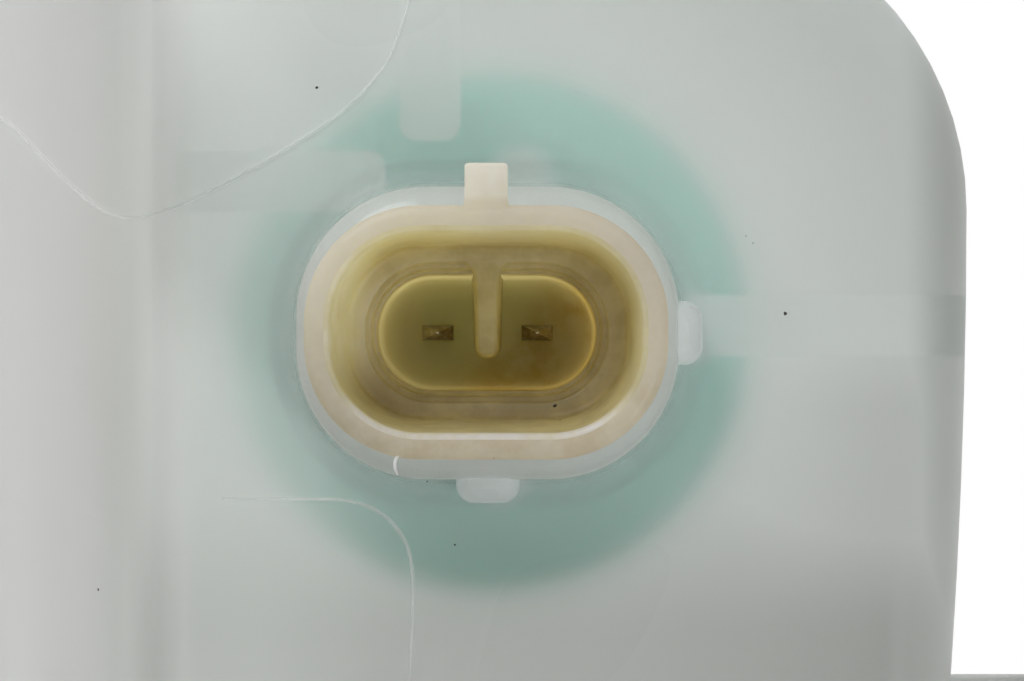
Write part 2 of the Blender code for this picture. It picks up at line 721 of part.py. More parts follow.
def add_peg(lower):
    """The locating peg on the back wall, with its collar."""
    radius = PEG_DIAMETER / 2
    profile = [
        (radius + PEG_COLLAR, -WALL / 2),
        (radius + PEG_COLLAR, PEG_COLLAR),
        (radius, PEG_COLLAR),
        (radius, PEG_LENGTH - PEG_COLLAR),
        (radius - PEG_COLLAR / 2, PEG_LENGTH),
    ]
    place = (PEG_X, BACK - draft_inset(PEG_Z), PEG_Z)
    join(lower, turned("peg", profile, SMALL_ROUND_STEPS), place, (-math.pi / 2, 0, 0))


def add_level_marks(lower, upper):
    for shell, height in ((lower, LOW_MARK_Z), (upper, HIGH_MARK_Z)):
        wall = FRONT + draft_inset(height)
        low = (MARK_X - MARK_WIDTH / 2, wall - MARK_PROUD, height - MARK_HEIGHT / 2)
        high = (MARK_X + MARK_WIDTH / 2, wall + WALL / 2, height + MARK_HEIGHT / 2)
        join(shell, box("level_mark", low, high))


def pin_x(side):
    return side * PIN_PITCH / 2


def sensor_housing(material):
    """The ivory plug shroud, plug body and reed tube, with the socket, well and tube bored out."""
    count = 4 * (CORNER_STEPS + 1)
    body = oval(*plug_body())
    shroud = oval(SHROUD_WIDTH, SHROUD_DEPTH, SHROUD_CORNER)
    groove = CLIP_BOTTOM - FIT, CLIP_BOTTOM + CLIP_THICKNESS + FIT
    groove_radius = TUBE_RADIUS - CLIP_BITE
    rings = [at_height(shroud, RIM), at_height(shroud, SHROUD_TOP)]
    rings += [at_height(body, SHROUD_TOP), at_height(body, PLUG_TOP)]
    for radius, height in (
        (TUBE_RADIUS, PLUG_TOP),
        (TUBE_RADIUS, groove[0]),
        (groove_radius, groove[0]),
        (groove_radius, groove[1]),
        (TUBE_RADIUS, groove[1]),
        (TUBE_RADIUS, TUBE_TOP - CLIP_BITE),
        (TUBE_RADIUS - CLIP_BITE, TUBE_TOP),
    ):
        rings.append(started_at(circle(radius, height, count), -math.pi / 2))
    housing = add_object("sensor_housing", skin("sensor_housing", rings), material, (SENSOR_X, SENSOR_Y, 0))
    mouth = inset_oval(SHROUD_WALL)
    floor = inset_oval(SHROUD_WALL + SHROUD_TAPER)
    well = oval(WELL_WIDTH, WELL_BREADTH, WELL_CORNER)
    taper_per_length = SHROUD_TAPER / SOCKET_DEPTH
    beyond = inset_oval(SHROUD_WALL - taper_per_length * SOCKET_DEPTH / 2)
    socket = [at_height(beyond, RIM - SOCKET_DEPTH / 2), at_height(mouth, RIM), at_height(floor, LEDGE)]
    socket += [at_height(well, LEDGE), at_height(well, WELL_BOTTOM)]
    place = (SENSOR_X, SENSOR_Y, 0)
    cut(housing, skin("socket", socket), place)
    bore = TUBE_RADIUS - TUBE_WALL
    cut(housing, turned("reed_bore", [(bore, TUBE_BORE_FLOOR), (bore, TUBE_BORE_TOP)], SMALL_ROUND_STEPS), place)
    for side in (-1, 1):
        half_width, half_depth = PIN_WIDTH / 2 + FIT, PIN_THICKNESS / 2 + FIT
        low = (pin_x(side) - half_width, -half_depth, WELL_BOTTOM - PARTITION)
        high = (pin_x(side) + half_width, half_depth, TUBE_BORE_FLOOR + PARTITION)
        cut(housing, box("pin_slot", low, high), place)
    join(housing, prism("socket_rib", rib_outline(), LEDGE - RIB_PROUD, WELL_BOTTOM + PARTITION / 2), place)
    tab_low = (-LOCK_TAB_WIDTH / 2, -SHROUD_DEPTH / 2 - LOCK_TAB_REACH, RIM + LOCK_TAB_SET_BACK)
    tab_high = (LOCK_TAB_WIDTH / 2, -SHROUD_DEPTH / 2 + SHROUD_WALL / 2, RIM + LOCK_TAB_LENGTH)
    join(housing, box("lock_tab", tab_low, tab_high), place)
    return housing


def started_at(ring, angle):
    """A circle's points, begun at the given angle, to match an oval's first point."""
    turned_ring = []
    for x, y, z in ring:
        turned_ring.append((x * math.cos(angle) - y * math.sin(angle), x * math.sin(angle) + y * math.cos(angle), z))
    return turned_ring


def inset_oval(inset):
    return oval(SHROUD_WIDTH - 2 * inset, SHROUD_DEPTH - 2 * inset, SHROUD_CORNER - inset)


def rib_outline():
    """The rib between the pins in plan, from the shroud's front wall to its rounded end."""
    half = RIB_THICKNESS / 2
    front = -plug_body()[1] / 2 + FIT
    points = [(-half, front), (half, front)]
    points += arc(0, RIB_PAST_AXIS - half, half, 0, 180, RIB_END_STEPS)
    return points


def sensor_seal(material):
    """The flat rubber seal between the plug body and the shelf, oval outside and round inside."""
    outer = oval(*plug_body())
    inner = started_at(circle(TUBE_RADIUS + FIT, 0, len(outer)), -math.pi / 2)
    inner = [(x, y) for x, y, _ in inner]
    top = SEAL_BOTTOM + SEAL_THICKNESS
    rings = [at_height(inner, SEAL_BOTTOM), at_height(outer, SEAL_BOTTOM), at_height(outer, top), at_height(inner, top)]
    mesh = skin("sensor_seal", rings, looped=True)
    return add_object("sensor_seal", mesh, material, (SENSOR_X, SENSOR_Y, 0))


def terminals(material):
    """The two stamped pins, from their tips in the well to the reed switch's leads."""
    lead_bottom = TUBE_BORE_FLOOR + REED_FROM_PARTITION - LEAD_LENGTH
    lead_top = lead_bottom + REED_LENGTH + 2 * LEAD_LENGTH
    tip = WELL_BOTTOM - PIN_STANDING
    inner, outer = PIN_PITCH / 2 - PIN_WIDTH / 2, PIN_PITCH / 2 + PIN_WIDTH / 2
    taper = PIN_TIP / 2
    arm = PIN_WIDTH / 2
    left = [
        (-outer + taper, tip),
        (-inner - taper, tip),
        (-inner, tip + PIN_TIP),
        (-inner, lead_bottom - FIT - 3 * arm),
        (arm, lead_bottom - FIT - arm),
        (arm, lead_bottom - FIT),
        (-arm, lead_bottom - FIT),
        (-outer, lead_bottom - FIT - 2 * arm),
        (-outer, tip + PIN_TIP),
    ]
    right = [
        (inner + taper, tip),
        (outer - taper, tip),
        (outer, tip + PIN_TIP),
        (outer, lead_top + FIT + arm),
        (-arm, lead_top + FIT + arm),
        (-arm, lead_top + FIT),
        (inner, lead_top + FIT),
        (inner, tip + PIN_TIP),
    ]
    for name, outline in (("terminal_left", left), ("terminal_right", right)):
        mesh = slab(name, outline, 0.0, PIN_THICKNESS, "Y")
        add_object(name, mesh, material, (SENSOR_X, SENSOR_Y, 0))


def reed_switch(material):
    """The glass reed capsule with a lead at each end, between the terminals' arms."""
    radius, lead = REED_DIAMETER / 2, LEAD_DIAMETER / 2
    bottom = TUBE_BORE_FLOOR + REED_FROM_PARTITION
    top = bottom + REED_LENGTH
    profile = [
        (lead, bottom - LEAD_LENGTH),
        (lead, bottom),
        (radius, bottom + radius),
        (radius, top - radius),
        (lead, top),
        (lead, top + LEAD_LENGTH),
    ]
    mesh = turned("reed_switch", profile, FINE_ROUND_STEPS)
    return add_object("reed_switch", mesh, material, (SENSOR_X, SENSOR_Y, 0))


def float_ring(material):
    """The ring float, with round edges and a pocket in its top for the magnet."""
    outer, top = FLOAT_DIAMETER / 2, FLOAT_HEIGHT
    pocket = FLOAT_BORE + MAGNET_WIDTH + 2 * FIT
    shelf = top - MAGNET_HEIGHT - FIT
    profile = [(FLOAT_BORE, 0)]
    profile += arc(outer - FLOAT_ROUND, FLOAT_ROUND, FLOAT_ROUND, -90, 90, FILLET_STEPS)
    profile += arc(outer - FLOAT_ROUND, top - FLOAT_ROUND, FLOAT_ROUND, 0, 90, FILLET_STEPS)
    profile += [(pocket, top), (pocket, shelf), (FLOAT_BORE, shelf)]
    mesh = turned("float_ring", profile, looped=True)
    return add_object("float_ring", mesh, material, (SENSOR_X, SENSOR_Y, FLOAT_BOTTOM))


def float_magnet(material):
    inner = FLOAT_BORE + FIT
    top = FLOAT_HEIGHT
    profile = ring_profile(inner, inner + MAGNET_WIDTH, top - MAGNET_HEIGHT, top)
    mesh = turned("float_magnet", profile, SMALL_ROUND_STEPS, looped=True)
    return add_object("float_magnet", mesh, material, (SENSOR_X, SENSOR_Y, FLOAT_BOTTOM))


def float_clip(material):
    """The open snap ring in the tube's groove that keeps the float on."""
    inner = TUBE_RADIUS - CLIP_BITE + FIT
    outer = TUBE_RADIUS + CLIP_REACH
    start = math.degrees(CLIP_OPENING) / 2
    sweep = 360 - 2 * start
    outline = arc(0, 0, outer, start, sweep, SMALL_ROUND_STEPS)
    outline += arc(0, 0, inner, start + sweep, -sweep, SMALL_ROUND_STEPS)
    mesh = prism("float_clip", outline, CLIP_BOTTOM, CLIP_BOTTOM + CLIP_THICKNESS)
    return add_object("float_clip", mesh, material, (SENSOR_X, SENSOR_Y, 0))


def lobed(radius, depth, height):
    """A ring of points with finger grips pressed into it."""
    steps = CAP_LOBES * STEPS_PER_LOBE
    points = []
    for i in range(steps):
        turn = 2 * math.pi * i / steps
        reach = radius - depth * (1 - math.cos(CAP_LOBES * turn)) / 2
        points.append((reach * math.cos(turn), reach * math.sin(turn), height))
    return points


def cap_cover(material):
    """The grip cap: fluted skirt, domed crown, and inside it the lugs that hold the insert."""
    outer = CAP_GRIP_DIAMETER / 2
    shoulder = CAP_CROWN - CAP_CROWN_ROUND
    inner = max(FLANGE_RADIUS + FIT, NECK_RADIUS + CAP_THREAD_CLEARANCE)
    ceiling = FIT + INSERT_FLANGE + FIT
    rings = [lobed(inner, 0.0, ceiling), lobed(inner, 0.0, -CAP_SKIRT)]
    rings.append(lobed(outer - CAP_LOBE_DEPTH, 0.0, -CAP_SKIRT))
    rings.append(lobed(outer, CAP_LOBE_DEPTH, CAP_LOBE_DEPTH - CAP_SKIRT))
    for angle in quarter_turns():
        radius = outer - CAP_CROWN_ROUND * (1 - math.cos(angle))
        depth = CAP_LOBE_DEPTH * math.cos(angle)
        rings.append(lobed(radius, depth, shoulder + CAP_CROWN_ROUND * math.sin(angle)))
    cover = add_object("cap_cover", skin("cap_cover", rings), material, (NECK_X, NECK_Y, NECK_TOP))
    low = (FLANGE_RADIUS - CAP_LUG_GRIP, -CAP_LUG_WIDTH / 2, -CAP_LUG_HEIGHT)
    high = (inner + CAP_LUG_ROOT, CAP_LUG_WIDTH / 2, 0.0)
    for i in range(CAP_LUGS):
        turn = 2 * math.pi * i / CAP_LUGS
        join(cover, box("snap_lug", low, high), (NECK_X, NECK_Y, NECK_TOP), (0, 0, turn))
    return cover


def seal_radius():
    """Half the thickness of the cap's round seal, which fills its groove up to the neck's bore."""
    return (NECK_BORE / 2 - INSERT_RADIUS + CAP_SEAL_GROOVE - 2 * FIT) / 2


def cap_insert(material):
    """The valve body under the cap: flange, barrel with a seal groove, and the valve seat."""
    half_groove = seal_radius() + FIT
    groove = INSERT_RADIUS - CAP_SEAL_GROOVE
    flange_bottom, flange_top = FIT, FIT + INSERT_FLANGE
    profile = [
        (FLANGE_RADIUS, flange_bottom),
        (FLANGE_RADIUS, flange_top),
        (INSERT_BORE, flange_top),
        (INSERT_BORE, SEAT_TOP),
        (SEAT_RADIUS, SEAT_TOP),
        (SEAT_RADIUS, -INSERT_LENGTH),
        (INSERT_RADIUS, -INSERT_LENGTH),
        (INSERT_RADIUS, -CAP_SEAL_FROM_TOP - half_groove),
        (groove, -CAP_SEAL_FROM_TOP - half_groove),
        (groove, -CAP_SEAL_FROM_TOP + half_groove),
        (INSERT_RADIUS, -CAP_SEAL_FROM_TOP + half_groove),
        (INSERT_RADIUS, flange_bottom),
    ]
    return add_cap_ring("cap_insert", profile, material)


def add_cap_ring(name, profile, material, steps=ROUND_STEPS):
    mesh = turned(name, profile, steps, looped=True)
    return add_object(name, mesh, material, (NECK_X, NECK_Y, NECK_TOP))


def cap_seal(material):
    """The round seal in the insert's groove."""
    radius = seal_radius()
    centre = INSERT_RADIUS - CAP_SEAL_GROOVE + FIT + radius
    profile = arc(centre, -CAP_SEAL_FROM_TOP, radius, 0, 360 - 360 / WIRE_SIDES, WIRE_SIDES - 1)
    return add_cap_ring("cap_seal", profile, material)


def valve_gasket(material):
    bottom = GASKET_BOTTOM
    profile = ring_profile(GASKET_HOLE / 2, PLATE_RADIUS, bottom, bottom + GASKET_THICKNESS)
    return add_cap_ring("pressure_valve_gasket", profile, material)


def valve_plate(material):
    """The pressure valve's plate, with an upstand round its spring and a hole for the vacuum stem."""
    upstand = PLATE_RADIUS - VALVE_PLATE_RIM / 2
    profile = [
        (STEM_CLEAR_RADIUS, PLATE_BOTTOM),
        (PLATE_RADIUS, PLATE_BOTTOM),
        (PLATE_RADIUS, PLATE_TOP + VALVE_PLATE_RIM),
        (upstand, PLATE_TOP + VALVE_PLATE_RIM),
        (upstand, PLATE_TOP),
        (STEM_CLEAR_RADIUS, PLATE_TOP),
    ]
    return add_cap_ring("pressure_valve_plate", profile, material)


def spring_retainer(material):
    """The ring at the barrel's mouth that the pressure spring pushes against."""
    bottom = retainer_bottom()
    profile = ring_profile(RETAINER_HOLE / 2, INSERT_BORE - FIT, bottom, bottom + RETAINER_THICKNESS)
    return add_cap_ring("spring_retainer", profile, material)


def retainer_bottom():
    return INSERT_FLANGE - RETAINER_THICKNESS - FIT


def vacuum_valve(material):
    """The vacuum disc under the gasket, its stem through the plate and its spring head."""
    disc, stem, head = VACUUM_DISC_DIAMETER / 2, VACUUM_STEM_DIAMETER / 2, VACUUM_HEAD_DIAMETER / 2
    head_bottom = vacuum_head_bottom()
    profile = [
        (disc, VACUUM_DISC_TOP - VACUUM_DISC_THICKNESS),
        (disc, VACUUM_DISC_TOP),
        (stem, VACUUM_DISC_TOP),
        (stem, head_bottom),
        (head, head_bottom),
        (head, head_bottom + VACUUM_HEAD_THICKNESS),
    ]
    mesh = turned("vacuum_valve", profile, SMALL_ROUND_STEPS)
    return add_object("vacuum_valve", mesh, material, (NECK_X, NECK_Y, NECK_TOP))


def vacuum_head_bottom():
    return VACUUM_DISC_TOP + VACUUM_STEM_LENGTH


def coil(name, material, radius, wire, bottom, top, turns, sides=WIRE_SIDES):
    """A compression spring between two heights, lofted along its helix."""
    steps = int(turns * STEPS_PER_TURN)
    start, rise = bottom + wire / 2, top - bottom - wire
    pitch = rise / turns
    lean = math.atan2(pitch, 2 * math.pi * radius)
    rings = []
    for i in range(steps + 1):
        turn = 2 * math.pi * turns * i / steps
        ring = []
        for side in range(sides):
            around = 2 * math.pi * side / sides
            out = radius + wire / 2 * math.cos(around)
            along = wire / 2 * math.sin(around)
            x = out * math.cos(turn) + along * math.sin(lean) * math.sin(turn)
            y = out * math.sin(turn) - along * math.sin(lean) * math.cos(turn)
            ring.append((x, y, start + rise * i / steps + along * math.cos(lean)))
        rings.append(ring)
    return add_object(name, skin(name, rings), material, (NECK_X, NECK_Y, NECK_TOP))


def springs(material):
    radius = PLATE_RADIUS - VALVE_PLATE_RIM / 2 - FIT - PRESSURE_WIRE / 2
    bottom, top = PLATE_TOP + FIT, retainer_bottom() - FIT
    coil("pressure_valve_spring", material, radius, PRESSURE_WIRE, bottom, top, PRESSURE_TURNS)
    radius = VACUUM_HEAD_DIAMETER / 2 - VACUUM_WIRE
    top = vacuum_head_bottom() - FIT
    coil("vacuum_valve_spring", material, radius, VACUUM_WIRE, bottom, top, VACUUM_TURNS, THIN_WIRE_SIDES)


def grommets(rubber, steel):
    """A rubber grommet in each ear, gripped between its two lips, with a steel sleeve through it."""
    lip = EAR_HOLE + GROMMET_LIP
    neck_bottom, neck_top = EAR_HEIGHT - FIT, EAR_HEIGHT + EAR_THICKNESS + FIT
    bottom, top = neck_bottom - GROMMET_LIP_THICKNESS, neck_top + GROMMET_LIP_THICKNESS
    rubber_profile = [
        (GROMMET_BORE, bottom),
        (lip, bottom),
        (lip, neck_bottom),
        (GROMMET_NECK, neck_bottom),
        (GROMMET_NECK, neck_top),
        (lip, neck_top),
        (lip, top),
        (GROMMET_BORE, top),
    ]
    bore = SLEEVE_BORE / 2
    steel_profile = ring_profile(bore, SLEEVE_RADIUS, bottom - SLEEVE_STAND_OUT, top + SLEEVE_STAND_OUT)
    for side, (x, y, _) in ear_places().items():
        mesh = turned("grommet_" + side, rubber_profile, SMALL_ROUND_STEPS, looped=True)
        add_object("grommet_" + side, mesh, rubber, (x, y, 0))
        mesh = turned("sleeve_" + side, steel_profile, SMALL_ROUND_STEPS, looped=True)
        add_object("sleeve_" + side, mesh, steel, (x, y, 0))


def main():
    clear_scene()
    milky = look("milky_plastic", (0.62, 0.66, 0.64), 0.45)
    ivory = look("ivory_plastic", (0.68, 0.63, 0.50), 0.4)
    teal = look("teal_plastic", (0.02, 0.42, 0.34), 0.5)
    black = look("black_plastic", (0.015, 0.015, 0.017), 0.5)
    grey = look("grey_plastic", (0.25, 0.26, 0.27), 0.5)
    rubber = look("rubber", (0.02, 0.02, 0.02), 0.8)
    brass = look("brass", (0.70, 0.55, 0.30), 0.3, 1.0)
    steel = look("steel", (0.55, 0.56, 0.58), 0.3, 1.0)
    magnet = look("magnet", (0.06, 0.06, 0.065), 0.6)
    glass = look("reed_glass", (0.55, 0.65, 0.60), 0.1)

    lower = lower_shell(milky)
    upper = upper_shell(milky)
    add_baffles(lower, upper)
    add_float_supports(lower)
    add_sensor_boss(lower)
    add_neck(upper)
    add_nipples(lower, upper)
    add_ears(lower)
    add_peg(lower)
    add_level_marks(lower, upper)

    sensor_housing(ivory)
    sensor_seal(rubber)
    terminals(brass)
    reed_switch(glass)
    float_ring(teal)
    float_magnet(magnet)
    float_clip(ivory)

    cap_cover(black)
    cap_insert(grey)
    cap_seal(rubber)
    valve_gasket(rubber)
    valve_plate(steel)
    spring_retainer(grey)
    vacuum_valve(steel)
    springs(steel)
    grommets(rubber, steel)


main()
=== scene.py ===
"""Looks of the coolant expansion tank: milky shells that a teal float shows through, the ivory
level sensor plug under the shelf, the screw cap, hose nipples and rubber mounted ears.

Metres, in the frame's own axes: X towards the shelf, Y from front to back, Z up, deep block on Z = 0.
"""

import math

import bmesh
import bpy
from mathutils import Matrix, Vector
from mathutils.bvhtree import BVHTree


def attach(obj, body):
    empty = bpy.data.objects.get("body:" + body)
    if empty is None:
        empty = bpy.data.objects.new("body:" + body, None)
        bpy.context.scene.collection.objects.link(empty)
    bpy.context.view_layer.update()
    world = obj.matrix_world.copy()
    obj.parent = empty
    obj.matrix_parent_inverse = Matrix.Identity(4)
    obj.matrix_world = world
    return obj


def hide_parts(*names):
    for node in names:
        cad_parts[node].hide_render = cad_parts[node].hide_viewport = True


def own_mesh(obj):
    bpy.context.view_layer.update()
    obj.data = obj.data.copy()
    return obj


MM = 0.001

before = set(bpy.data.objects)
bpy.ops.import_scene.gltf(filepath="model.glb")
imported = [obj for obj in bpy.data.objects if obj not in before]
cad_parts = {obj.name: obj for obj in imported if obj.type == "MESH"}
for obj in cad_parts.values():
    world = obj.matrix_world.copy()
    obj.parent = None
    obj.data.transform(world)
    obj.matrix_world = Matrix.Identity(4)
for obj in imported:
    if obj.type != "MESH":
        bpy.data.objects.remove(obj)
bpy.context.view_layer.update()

# Tank body
SUMP_LENGTH = 150 * MM
SHELF_LENGTH = 55 * MM
TANK_DEPTH = 131 * MM
SHELF_RISE = 25 * MM
WELD_HEIGHT = 78 * MM
TOP_HEIGHT = 148 * MM
WALL = 2.5 * MM
DRAFT = math.radians(1)
PLAN_RADIUS = 22 * MM
SUMP_CORNER = 7 * MM
SIDE_BOW_RADIUS = 470 * MM
BOTTOM_FILLET = 9 * MM
SHELF_FILLET = 5 * MM
STEP_FILLET = 3 * MM
TOP_FILLET = 16 * MM
LEAST_ROUND = 0.5 * MM
FLANGE_REACH = 3 * MM
FLANGE_THICKNESS = 2.5 * MM
FLANGE_ROUND = 0.6 * MM
FIT = 0.3 * MM

# Baffle and float supports inside
BAFFLE_X = 8 * MM
BAFFLE_THICKNESS = 2.2 * MM
BAFFLE_TOP = 128 * MM
BAFFLE_WINDOW_WIDTH = 34 * MM
BAFFLE_WINDOW_HEIGHT = 16 * MM
BAFFLE_WINDOW_Y = 26 * MM
RIB_TOP = 31 * MM
RIB_HALF_WIDTH = 2.05 * MM
RIB_START = 12.9 * MM
RIB_ROUND = 1.2 * MM
FRONT_RIB_OFFSET = -3.9 * MM
SIDE_RIB_OFFSET = -0.5 * MM
STEP_RIB_OFFSET = -10.2 * MM
STEP_RIB_END = 6.9 * MM

# Sensor boss, plug shroud and its socket
SENSOR_FROM_SIDE = 33.6 * MM
SENSOR_FROM_FRONT = 30.5 * MM
BOSS_WIDTH = 25.2 * MM
BOSS_DEPTH = 19.3 * MM
BOSS_CORNER = 8.6 * MM
BOSS_DROP = 7 * MM
BOSS_ROUND = 2.2 * MM
BOSS_ROOT = 2 * MM
BOSS_LUG_WIDTH = 4.2 * MM
BOSS_LUG_REACH = 1.6 * MM
BOSS_LUG_ROUND = 1.2 * MM
SUNK = 0.4 * MM
SHROUD_WIDTH = 22.5 * MM
SHROUD_DEPTH = 15.7 * MM
SHROUD_CORNER = 7.2 * MM
SHROUD_WALL = 1.6 * MM
SHROUD_TAPER = 0.7 * MM
RIM = 4.7 * MM
RIM_OUTER_ROUND = 0.7 * MM
RIM_INNER_ROUND = 0.35 * MM
LEDGE = 12.7 * MM
LEDGE_ROUND = 0.5 * MM
WELL_WIDTH = 14.6 * MM
WELL_BREADTH = 8 * MM
WELL_CORNER = 3.9 * MM
WELL_BOTTOM = 20.5 * MM
WELL_FLOOR_ROUND = 1.6 * MM
SHROUD_TOP = 17.7 * MM
PLUG_SHOULDER = 0.6 * MM
PLUG_TOP = 22.9 * MM
TUBE_RADIUS = 5.5 * MM
TUBE_TOP = 70 * MM
TUBE_ROUND = 0.6 * MM
TUBE_TIP = 0.4 * MM
SOCKET_RIB_WIDTH = 1.5 * MM
SOCKET_RIB_PAST_AXIS = 1.6 * MM
TAB_WIDTH = 2.65 * MM
TAB_REACH = 2.6 * MM
TAB_LENGTH = 9 * MM
TAB_SET_BACK = 0.15 * MM
PIN_PITCH = 6.5 * MM
PIN_WIDTH = 2 * MM
PIN_THICKNESS = 1 * MM
PIN_STANDING = 3.4 * MM
PIN_POINT = 0.75 * MM
PIN_TIP_SHARE = 0.1
PIN_EDGE_SHARE = 0.97
PIN_EDGE = 0.1 * MM
PIN_SUNK = 0.5 * MM
PIN_FOOT = 0.2 * MM
LEAD_BOTTOM = 37.1 * MM
LEAD_TOP = 59.1 * MM

# Neck and cap
NECK_X = -15 * MM
NECK_BORE = 38 * MM
NECK_WALL = 5 * MM
NECK_TOP = 168 * MM
NECK_ROOT_FILLET = 3 * MM
NECK_CHAMFER = 0.8 * MM
THREAD_PITCH = 6 * MM
THREAD_TURNS = 1.75
THREAD_DEPTH = 1.6 * MM
THREAD_WIDTH = 2.6 * MM
THREAD_NARROWING = 2.4
THREAD_BELOW_MOUTH = 4 * MM
THREAD_SUNK = 0.2 * MM
THREAD_STEPS = 72
THREAD_FADE_STEPS = 9
CAP_RADIUS = 30.5 * MM
CAP_LOBES = 12
CAP_LOBE_DEPTH = 1.1 * MM
CAP_LOBE_STEPS = 24
SKIRT_ROUND = 0.3 * MM
SKIRT_ROUND_HEIGHT = 0.4 * MM
CAP_SKIRT = 10 * MM
CAP_CROWN = 8.2 * MM
CAP_CROWN_ROUND = 5 * MM
CAP_INSIDE_RADIUS = 27.5 * MM
CAP_INSIDE_TOP = 3.1 * MM
CAP_DISH_RADIUS = 20 * MM
CAP_DISH_DEPTH = 0.8 * MM

# Hose nipples, ears, peg and level marks
OUTLET_BORE = 15 * MM
OUTLET_WALL = 2.5 * MM
OUTLET_LENGTH = 28 * MM
OUTLET_Y = 20 * MM
OUTLET_Z = 18 * MM
VENT_BORE = 6.4 * MM
VENT_WALL = 1.8 * MM
VENT_LENGTH = 22 * MM
VENT_X = -45 * MM
VENT_Z = 118 * MM
BARB_HEIGHT = 0.9 * MM
BARB_LENGTH = 5 * MM
EAR_WIDTH = 27 * MM
EAR_REACH = 15 * MM
EAR_THICKNESS = 4 * MM
EAR_HEIGHT = 44 * MM
RIGHT_EAR_Y = 3.5 * MM
LEFT_EAR_Y = -18 * MM
EAR_HOLE = 8.7 * MM
EAR_ROUND = 0.6 * MM
EAR_GUSSET_DROP = 10 * MM
EAR_GUSSET_THICKNESS = 2.2 * MM
GROMMET_LIP = 2.6 * MM
GROMMET_LIP_THICKNESS = 3 * MM
GROMMET_ROUND = 0.9 * MM
SLEEVE_BORE = 6.6 * MM
SLEEVE_WALL = 1.8 * MM
SLEEVE_STAND_OUT = 1 * MM
PEG_X = 25 * MM
PEG_Z = 60 * MM
PEG_RADIUS = 5 * MM
PEG_LENGTH = 16 * MM
PEG_COLLAR = 2 * MM
MARK_X = -40 * MM
MARK_WIDTH = 24 * MM
MARK_HEIGHT = 1.8 * MM
MARK_PROUD = 1 * MM
LOW_MARK_Z = 56 * MM
HIGH_MARK_Z = 104 * MM
EDGE_ROUND = 0.4 * MM
NIPPLE_ROUND = 0.35 * MM
PEG_ROUND = 0.5 * MM
PEG_TIP = 0.2 * MM
SLEEVE_ROUND = 0.3 * MM

# Smoothness
CORNER_STEPS = 16
SIDE_STEPS = 14
FADE_STEPS = 10
FILLET_STEPS = 8
ROUND_STEPS = 96
OVAL_STEPS = 20
SHARP_ANGLE = math.radians(35)
BEVEL_ANGLE = math.radians(40)

# Camera, as the photograph looks up at the plug
IMAGE_WIDTH = 1024
IMAGE_HEIGHT = 681
CAMERA_DISTANCE = 220 * MM
CAMERA_OFFSET = (1.6 * MM, 0.5 * MM)
PIXEL_AT_RIM = 0.0615 * MM
SENSOR_WIDTH = 36.0
CAMERA_NEAR = 10 * MM
CAMERA_FAR = 100

# The well from its lip down: how far out and how deep below the ledge, in mm, and the material slot
WELL_STEPS = (
    (0.62, 0.0, 1), (0.52, 0.06, 1), (0.46, 0.4, 1), (0.40, 0.46, 1), (0.16, 0.46, 1),
    (0.10, 0.50, 1), (0.08, 0.80, 1), (0.02, 0.80, 1), (0.0, 0.50, 1), (-0.04, 0.42, 1),
    (-0.14, 0.40, 1), (-0.26, 0.46, 2), (-0.34, 0.7, 2), (-0.40, 1.2, 2),
)
WELL_WALL_INSET = 0.5 * MM

# The socket's rib: how much wider in mm at each height, and its foot's flare along it
SOCKET_RIB_STEPS = (
    (0.25, WELL_BOTTOM + 0.5 * MM), (0.08, LEDGE + 1.5 * MM), (0.0, LEDGE + 0.32 * MM),
    (-0.06, LEDGE + 0.12 * MM), (-0.2, LEDGE + 0.02 * MM),
)
SOCKET_RIB_FLARE = ((0.9, -0.75), (0.55, -0.35), (0.2, 0.05), (0.06, 0.5), (0.0, 1.0))
SOCKET_RIB_TIP_INSET = 0.1 * MM

# The lock tab: how far in, in mm, at heights from its low and its high end, and its root's flare
TAB_LOW_STEPS = ((0.22, 0.0), (0.10, 0.05), (0.03, 0.13), (0.0, 0.25))
TAB_HIGH_STEPS = ((0.0, -0.3), (0.1, -0.1), (0.3, 0.0))
TAB_FLARE = ((0.0, 0.75), (0.07, 0.45), (0.25, 0.0))
TAB_CORNER = 0.25 * MM
TAB_SUNK = 0.4 * MM

# A boss lug's lower end: how far in and how high, in mm
BOSS_LUG_STEPS = ((1.0, -0.6), (0.5, -0.2), (0.2, 0.3), (0.0, 1.0))
BOSS_LUG_TAPER = 1.2

# The cap's dish, out from its radius, and the pip in its middle: in mm, and the share of the dish's depth
DISH_STEPS = ((1.0, 0.0), (0.3, 0.15), (0.0, 0.85), (-0.6, 1.0))
PIP_STEPS = ((3.0, 1.0), (2.7, 0.75), (2.2, 0.7))

# Small marks, in the picture's pixels: across, down and, for dust, the radius in mm
WITNESS_LINE = (
    (222, 499), (300, 499), (350, 501), (382, 514), (402, 536), (411, 562), (413, 600), (409, 681),
)
HAIRLINE = (
    (412, -10), (400, 30), (385, 65), (350, 105), (300, 140), (240, 175), (200, 195),
    (165, 210), (130, 218), (95, 205), (60, 175), (10, 125), (-20, 110),
)
DUST = (
    (785, 313, 0.12), (317, 88, 0.09), (98, 590, 0.09), (455, 545, 0.06), (746, 236, 0.05),
    (753, 243, 0.05), (555, 406, 0.11), (427, 481, 0.06), (494, 458, 0.05), (560, 420, 0.04),
)

# The flash curl, in mm from the sensor's axis
CURL = ((-4.75, 7.1, 5.6), (-5.3, 7.4, 5.2), (-5.6, 7.95, 5.1), (-5.6, 8.4, 5.2), (-5.45, 8.8, 5.5))

